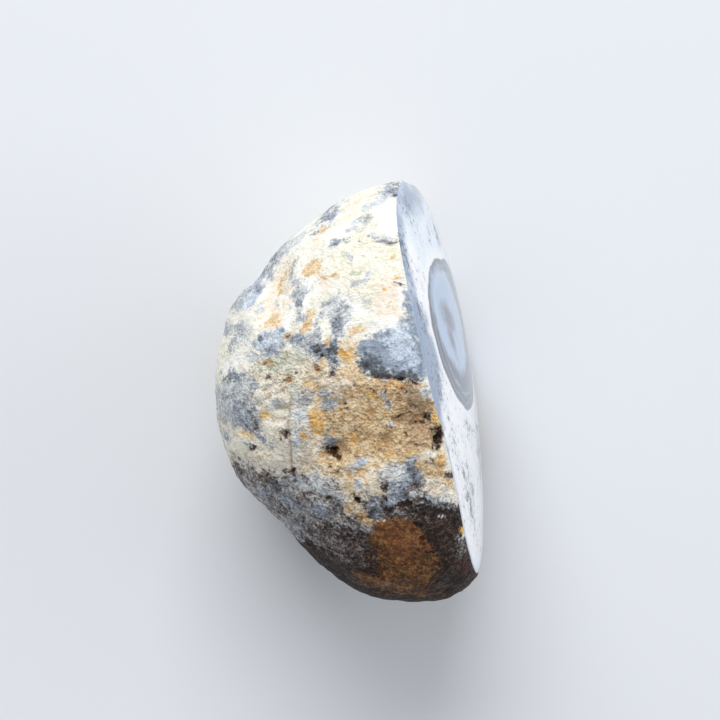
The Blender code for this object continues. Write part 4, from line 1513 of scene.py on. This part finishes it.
@dataclass(frozen=True)
class PolishFinish:
    """The polished face: milky opal with soft clouds, a banded eye and dark moss-like dendrites, with painted
    shade along its rim.

    A share is how strongly something acts, and a pair is the range over which it sets in.
    """

    roughness: float = 0.08
    ior: float = 1.42
    sway: Grain = Grain(3.4, 5.0, 0.6)
    sway_reach: float = 2.0
    # Painted shade of the rounded rim, laid where the face meets the rind
    edge: Colour = paint(168, 180, 200)
    edge_shade_depth: float = 0.55
    edge_shade_share: float = 0.7
    band_gap: float = 1.3
    band_detail: float = 2.0
    band_rough: float = 0.6
    band_range: Pair = (0.5, 0.66)
    band_start: Pair = (0.3, 1.0)
    band_end: Pair = (4.6, 3.2)
    band_share: float = 0.34
    band: Colour = paint(206, 216, 232)
    cloud: Grain = Grain(5.0, 6.0, 0.6, 0.8)
    cloud_range: Pair = (0.42, 0.64)
    cloud_share: float = 0.14
    cloud_tint: Colour = paint(206, 216, 234)
    moss: Grain = Grain(3.0, 10.0, 0.72, 0.3)
    moss_level: float = 0.70
    moss_gain: float = 0.21
    moss_edge: float = 0.05
    speck: Grain = Grain(0.8, 6.0, 0.7)
    speck_lead: float = 0.02
    speck_share: float = 0.7
    veil: Colour = paint(158, 164, 188)
    veil_lead: float = 0.12
    veil_edge: float = 0.02
    veil_ferns: float = 0.5
    veil_share: float = 0.26
    dendrite: Colour = paint(84, 92, 116)
    dendrite_share: float = 0.88
    fern_sway: Grain = Grain(1.6, 4.0, 0.7)
    fern_sway_reach: float = 1.6
    fern_least: float = 0.02
    fern_turns: float = 2.6
    fern_pull: float = 0.45
    fern: Grain = Grain(1.0, 7.0, 0.8)
    fern_level: float = 0.72
    fern_gain: float = 0.25
    fern_fade: float = 0.014
    fern_edge: float = 0.03
    fern_density: Pair = (0.3, 0.5)

    def material(self) -> bpy.types.Material:
        """Make the polished face's material.

        Returns:
            The material.
        """
        bench = Bench("polished_opal")
        place = bench.millimetres()
        sway = bench.grain(place, self.sway) - NOISE_MEAN
        plain, *laid_over = Tone
        colour = TINTS[plain].colour
        for tone in laid_over:
            tint = TINTS[tone]
            field = bench.number(tone.number) + sway * (tint.wobble * self.sway_reach)
            colour = bench.mix(field.rise(-tint.soft, tint.soft), colour, tint.colour)
        colour = self.banded(bench, colour, sway)
        clouds = bench.grain(place, self.cloud).rise(*self.cloud_range) * self.cloud_share
        colour = bench.tinted(clouds, colour, self.cloud_tint)
        # Painted shade of the rounded rim
        rim = bench.number("rim_depth").rise(self.edge_shade_depth, 0.0) * self.edge_shade_share
        colour = self.grown(bench, bench.mix(rim, colour, self.edge), place)
        bench.dress(Base_Color=colour, Roughness=self.roughness, IOR=self.ior)
        return bench.material

    def banded(self, bench: Bench, colour: Link, sway: Signal) -> Link:
        """Return the colour with fine bands round the eye.

        Args:
            bench: The bench of the face's material.
            colour: The colour so far.
            sway: Noise that makes the bands uneven.

        Returns:
            The banded colour.
        """
        depth = bench.number(Tone.RING.number) + sway * self.sway_reach
        sockets = {"W": depth, "Scale": 1.0 / self.band_gap, "Detail": self.band_detail}
        sockets.update(Roughness=self.band_rough)
        node = bench.node("ShaderNodeTexNoise", {"noise_dimensions": "1D"}, sockets)
        bands = Signal(bench, node.outputs["Fac"])
        ring = depth.rise(*self.band_start) * depth.rise(*self.band_end) * self.band_share
        return bench.mix(bands.rise(*self.band_range) * ring, colour, self.band)

    def grown(self, bench: Bench, colour: Link, place: Link) -> Link:
        """Return the colour with dendrites grown into it.

        Args:
            bench: The bench of the face's material.
            colour: The colour so far.
            place: The place in millimetres.

        Returns:
            The colour with its dendrites.
        """
        density = bench.number("dendrites")
        moss = bench.grain(place, self.moss)
        specks = bench.grain(place, self.speck)
        ferns = self.ferns(bench, place, density)
        level = self.moss_level - density * self.moss_gain
        near = moss.rise(level - self.veil_lead, level + self.veil_edge).highest(ferns * self.veil_ferns)
        core = moss.rise(level, level + self.moss_edge)
        flecks = specks.rise(level - self.speck_lead, level + self.moss_edge) * self.speck_share
        colour = bench.mix(near * self.veil_share, colour, self.veil)
        return bench.mix(ferns.highest(core).highest(flecks) * self.dendrite_share, colour, self.dendrite)

    def ferns(self, bench: Bench, place: Link, density: Signal) -> Signal:
        """Return how much of a branch lies at each place, in branches that spread from each growth's middle.

        Args:
            bench: The bench of the face's material.
            place: The place in millimetres.
            density: How densely dendrites grow.

        Returns:
            The branches' share.
        """
        sway = bench.grain(place, self.fern_sway) - NOISE_MEAN
        along = bench.number("growth_along") + sway * self.fern_sway_reach
        up = bench.number("growth_up") - sway * self.fern_sway_reach
        reach = (along * along + up * up + self.fern_least).root()
        sockets = {0: along / reach * self.fern_turns, 1: up / reach * self.fern_turns}
        sockets[2] = reach * self.fern_pull
        branches = bench.grain(bench.node("ShaderNodeCombineXYZ", {}, sockets).outputs[0], self.fern)
        level = self.fern_level - density * self.fern_gain + reach * self.fern_fade
        return branches.rise(level, level + self.fern_edge) * density.rise(*self.fern_density)


@dataclass(frozen=True)
class Stone:
    """The stone: one dense mesh of rings round the polished face's axis, with its markings and finishes."""

    form: StoneForm = StoneForm()
    markings: Markings = Markings()
    relief: Relief = Relief()
    design: FaceDesign = FaceDesign()
    meridians: int = 400
    face_rings: int = 36
    rind_rings: int = 210
    rim_range: Pair = (0.2, 2.4)
    rim_search_steps: int = 30
    relief_at_rim: float = 0.25
    relief_reach: float = 1.8

    @property
    def rings(self) -> int:
        """Return how many rings the mesh has from pole to pole."""
        return self.face_rings + self.rind_rings

    @property
    def rim_share(self) -> float:
        """Return the rim's share of the way from the face's pole to the other."""
        return self.face_rings / self.rings

    def build(self) -> bpy.types.Object:
        """Build the stone as one object in the scene, dressed and riding on its body.

        Returns:
            The stone.
        """
        shape = bmesh.new()
        bmesh.ops.create_uvsphere(shape, u_segments=self.meridians, v_segments=self.rings, radius=1.0)
        mesh = bpy.data.meshes.new("opal_stone")
        shape.to_mesh(mesh)
        shape.free()
        polars, directions = self.spread(mesh)
        points, numbers = self.surface(directions)
        mesh.vertices.foreach_set("co", (points * MM).astype(np.float32).ravel())
        for name, values in numbers.items():
            attribute = mesh.attributes.new(name, "FLOAT", "POINT")
            attribute.data.foreach_set("value", values.astype(np.float32))
        mesh.materials.append(RindFinish().material())
        mesh.materials.append(PolishFinish().material())
        self.part_finishes(mesh, polars)
        mesh.shade_smooth()
        mesh.update()
        piece = bpy.data.objects.new("opal_stone", mesh)
        bpy.context.scene.collection.objects.link(piece)
        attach(piece, "root")
        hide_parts(STONE_NODE)
        return piece

    def spread(self, mesh: bpy.types.Mesh) -> tuple[Array, Array]:
        """Return where each vertex of a plain sphere goes round the face's axis.

        Args:
            mesh: The plain sphere, with its poles along Z.

        Returns:
            Each vertex's share of the way from pole to pole, and its direction from the stone's middle.
        """
        flat = np.empty(len(mesh.vertices) * 3, np.float32)
        mesh.vertices.foreach_get("co", flat)
        places = flat.reshape(-1, 3).astype(float)
        polars = np.arccos(np.clip(places[:, 2], -1.0, 1.0)) / math.pi
        turns = np.arctan2(places[:, 1], places[:, 0]) / math.tau * self.meridians
        meridians = np.round(turns).astype(int) % self.meridians
        axis = self.form.face_axis()
        across = np.cross(axis, (0.0, 0.0, 1.0))
        across /= np.linalg.norm(across)
        upright = np.cross(axis, across)
        angles = np.arange(self.meridians) * math.tau / self.meridians
        sideways = np.outer(np.cos(angles), across) + np.outer(np.sin(angles), upright)
        rims = self.rim_angles(axis, sideways)[meridians]
        beyond = rims + (math.pi - rims) * (polars - self.rim_share) / (1.0 - self.rim_share)
        bends = np.where(polars <= self.rim_share, rims * polars / self.rim_share, beyond)[:, None]
        return polars, axis * np.cos(bends) + sideways[meridians] * np.sin(bends)

    def rim_angles(self, axis: Array, sideways: Array) -> Array:
        """Return the angle between the face's axis and the rim on every meridian.

        Args:
            axis: The face's axis.
            sideways: Each meridian's direction square to the axis.

        Returns:
            Angles in radians.
        """
        inner = np.full(len(sideways), self.rim_range[0])
        outer = np.full(len(sideways), self.rim_range[1])
        for _ in range(self.rim_search_steps):
            middle = (inner + outer) / 2.0
            directions = axis * np.cos(middle)[:, None] + sideways * np.sin(middle)[:, None]
            on_face = self.form.face(directions) < self.form.rind(directions)
            inner = np.where(on_face, middle, inner)
            outer = np.where(on_face, outer, middle)
        return (inner + outer) / 2.0

    def surface(self, directions: Array) -> tuple[Array, dict[str, Array]]:
        """Return the stone's surface with its fine relief, and what its finishes need at each point.

        Args:
            directions: Directions from the stone's middle.

        Returns:
            Points in millimetres, and numbers for each point by name.
        """
        form = self.form
        middle = np.array(form.middle)
        rind = form.rind(directions)
        face = form.face(directions)
        flat = form.flat(directions)
        plain = rounded_minimum(rind, face, form.rim_round)
        points = middle + directions * plain[:, None]
        fields = self.markings.fields(form, points)
        coarse = self.relief.coarseness(fields)
        pits = self.relief.pit_depths(points, coarse)
        inside_rim = smooth_step(0.0, self.relief_reach, face - rind)
        share = self.relief_at_rim + (1.0 - self.relief_at_rim) * inside_rim
        rough = rind + share * (self.relief.heights(points, coarse) - pits)
        body = rounded_minimum(rough, face, form.rim_round)
        surface = middle + directions * rounded_minimum(body, flat, form.flat_round)[:, None]
        surface[:, 2] = np.where(flat <= body - form.flat_round, 0.0, surface[:, 2])
        numbers = {zone.number: field for zone, field in list(fields.items())[1:]}
        numbers.update({tone.number: field for tone, field in list(self.design.tones(points).items())[1:]})
        numbers.update(coarseness=coarse, pit_depth=pits * share, rim_depth=rind - face)
        along, up = self.design.spokes(points)
        numbers.update(dendrites=self.design.densities(points), growth_along=along, growth_up=up)
        return surface, numbers

    def part_finishes(self, mesh: bpy.types.Mesh, polars: Array) -> None:
        """Give the faces inside the rim the polished finish, and the rest the rind's.

        Args:
            mesh: The stone's mesh, with the rind's material first.
            polars: Each vertex's share of the way from the face's pole to the other.
        """
        corners = np.empty(len(mesh.loops), np.int32)
        mesh.loops.foreach_get("vertex_index", corners)
        starts = np.empty(len(mesh.polygons), np.int32)
        mesh.polygons.foreach_get("loop_start", starts)
        lowest = np.minimum.reduceat(polars[corners], starts)
        highest = np.maximum.reduceat(polars[corners], starts)
        polished = (lowest + highest) / 2.0 < self.rim_share
        mesh.polygons.foreach_set("material_index", polished.astype(np.int32))


@dataclass(frozen=True)
class Lamp:
    """One soft square light: its place, what it points at and its side in metres, its power in watts."""

    name: str
    place: Triple
    target: Triple
    side: float
    power: float
    colour: Colour = (1.0, 1.0, 1.0)

    def build(self) -> None:
        """Add the light to the scene."""
        light = bpy.data.lights.new(self.name, "AREA")
        light.size = self.side
        light.energy = self.power
        light.color = self.colour
        lamp = bpy.data.objects.new(self.name, light)
        lamp.location = self.place
        aim = Vector(self.target) - Vector(self.place)
        lamp.rotation_euler = aim.to_track_quat("-Z", "Y").to_euler()
        bpy.context.scene.collection.objects.link(lamp)


@dataclass(frozen=True)
class Studio:
    """The pale floor, the soft light and the camera that looks straight down on the stone."""

    floor_half: float = 3.0
    floor_colour: Colour = (0.82, 0.845, 0.88)
    floor_roughness: float = 0.9
    sky_colour: Colour = (0.95, 0.97, 1.0)
    sky_strength: float = 0.5
    lens: float = 100.0
    sensor: float = 36.0
    nearest: float = 0.01
    lamps: tuple[Lamp, ...] = (
        Lamp("key", (-0.10, 0.75, 0.55), (0.0, 0.0, 0.02), 0.7, 7.3),
        Lamp("side", (0.75, 0.10, 0.22), (0.0, 0.0, 0.02), 0.6, 1.6),
    )

    def build(self) -> None:
        """Add the floor, the sky, the lamps and the camera."""
        self.floor()
        self.sky()
        for lamp in self.lamps:
            lamp.build()
        self.camera()
        bpy.context.scene.view_settings.view_transform = "Standard"

    def floor(self) -> None:
        """Add the pale floor that the stone lies on."""
        shape = bmesh.new()
        bmesh.ops.create_grid(shape, x_segments=1, y_segments=1, size=self.floor_half)
        mesh = bpy.data.meshes.new("studio_floor")
        shape.to_mesh(mesh)
        shape.free()
        bench = Bench("studio_floor")
        bench.dress(Base_Color=self.floor_colour, Roughness=self.floor_roughness)
        mesh.materials.append(bench.material)
        floor = bpy.data.objects.new("studio_floor", mesh)
        bpy.context.scene.collection.objects.link(floor)

    def sky(self) -> None:
        """Light the scene evenly from all round."""
        world = bpy.data.worlds.new("studio_light")
        world.use_nodes = True
        background = world.node_tree.nodes["Background"]
        background.inputs["Color"].default_value = (*self.sky_colour, 1.0)
        background.inputs["Strength"].default_value = self.sky_strength
        bpy.context.scene.world = world

    def camera(self) -> None:
        """Put the camera at the eye point, looking straight down with the stone's length upright."""
        data = bpy.data.cameras.new("camera")
        data.lens = self.lens
        data.sensor_width = self.sensor
        data.clip_start = self.nearest
        camera = bpy.data.objects.new("camera", data)
        camera.location = tuple(share * MM for share in EYE)
        bpy.context.scene.collection.objects.link(camera)
        bpy.context.scene.camera = camera


def main() -> None:
    """Build the studio and the stone."""
    logging.basicConfig(level=logging.INFO, format="%(message)s")
    Studio().build()
    LOG.info("studio: floor, light and camera")
    piece = Stone().build()
    LOG.info("%s: %d vertices, %d faces", piece.name, len(piece.data.vertices), len(piece.data.polygons))


if __name__ == "__main__":
    main()
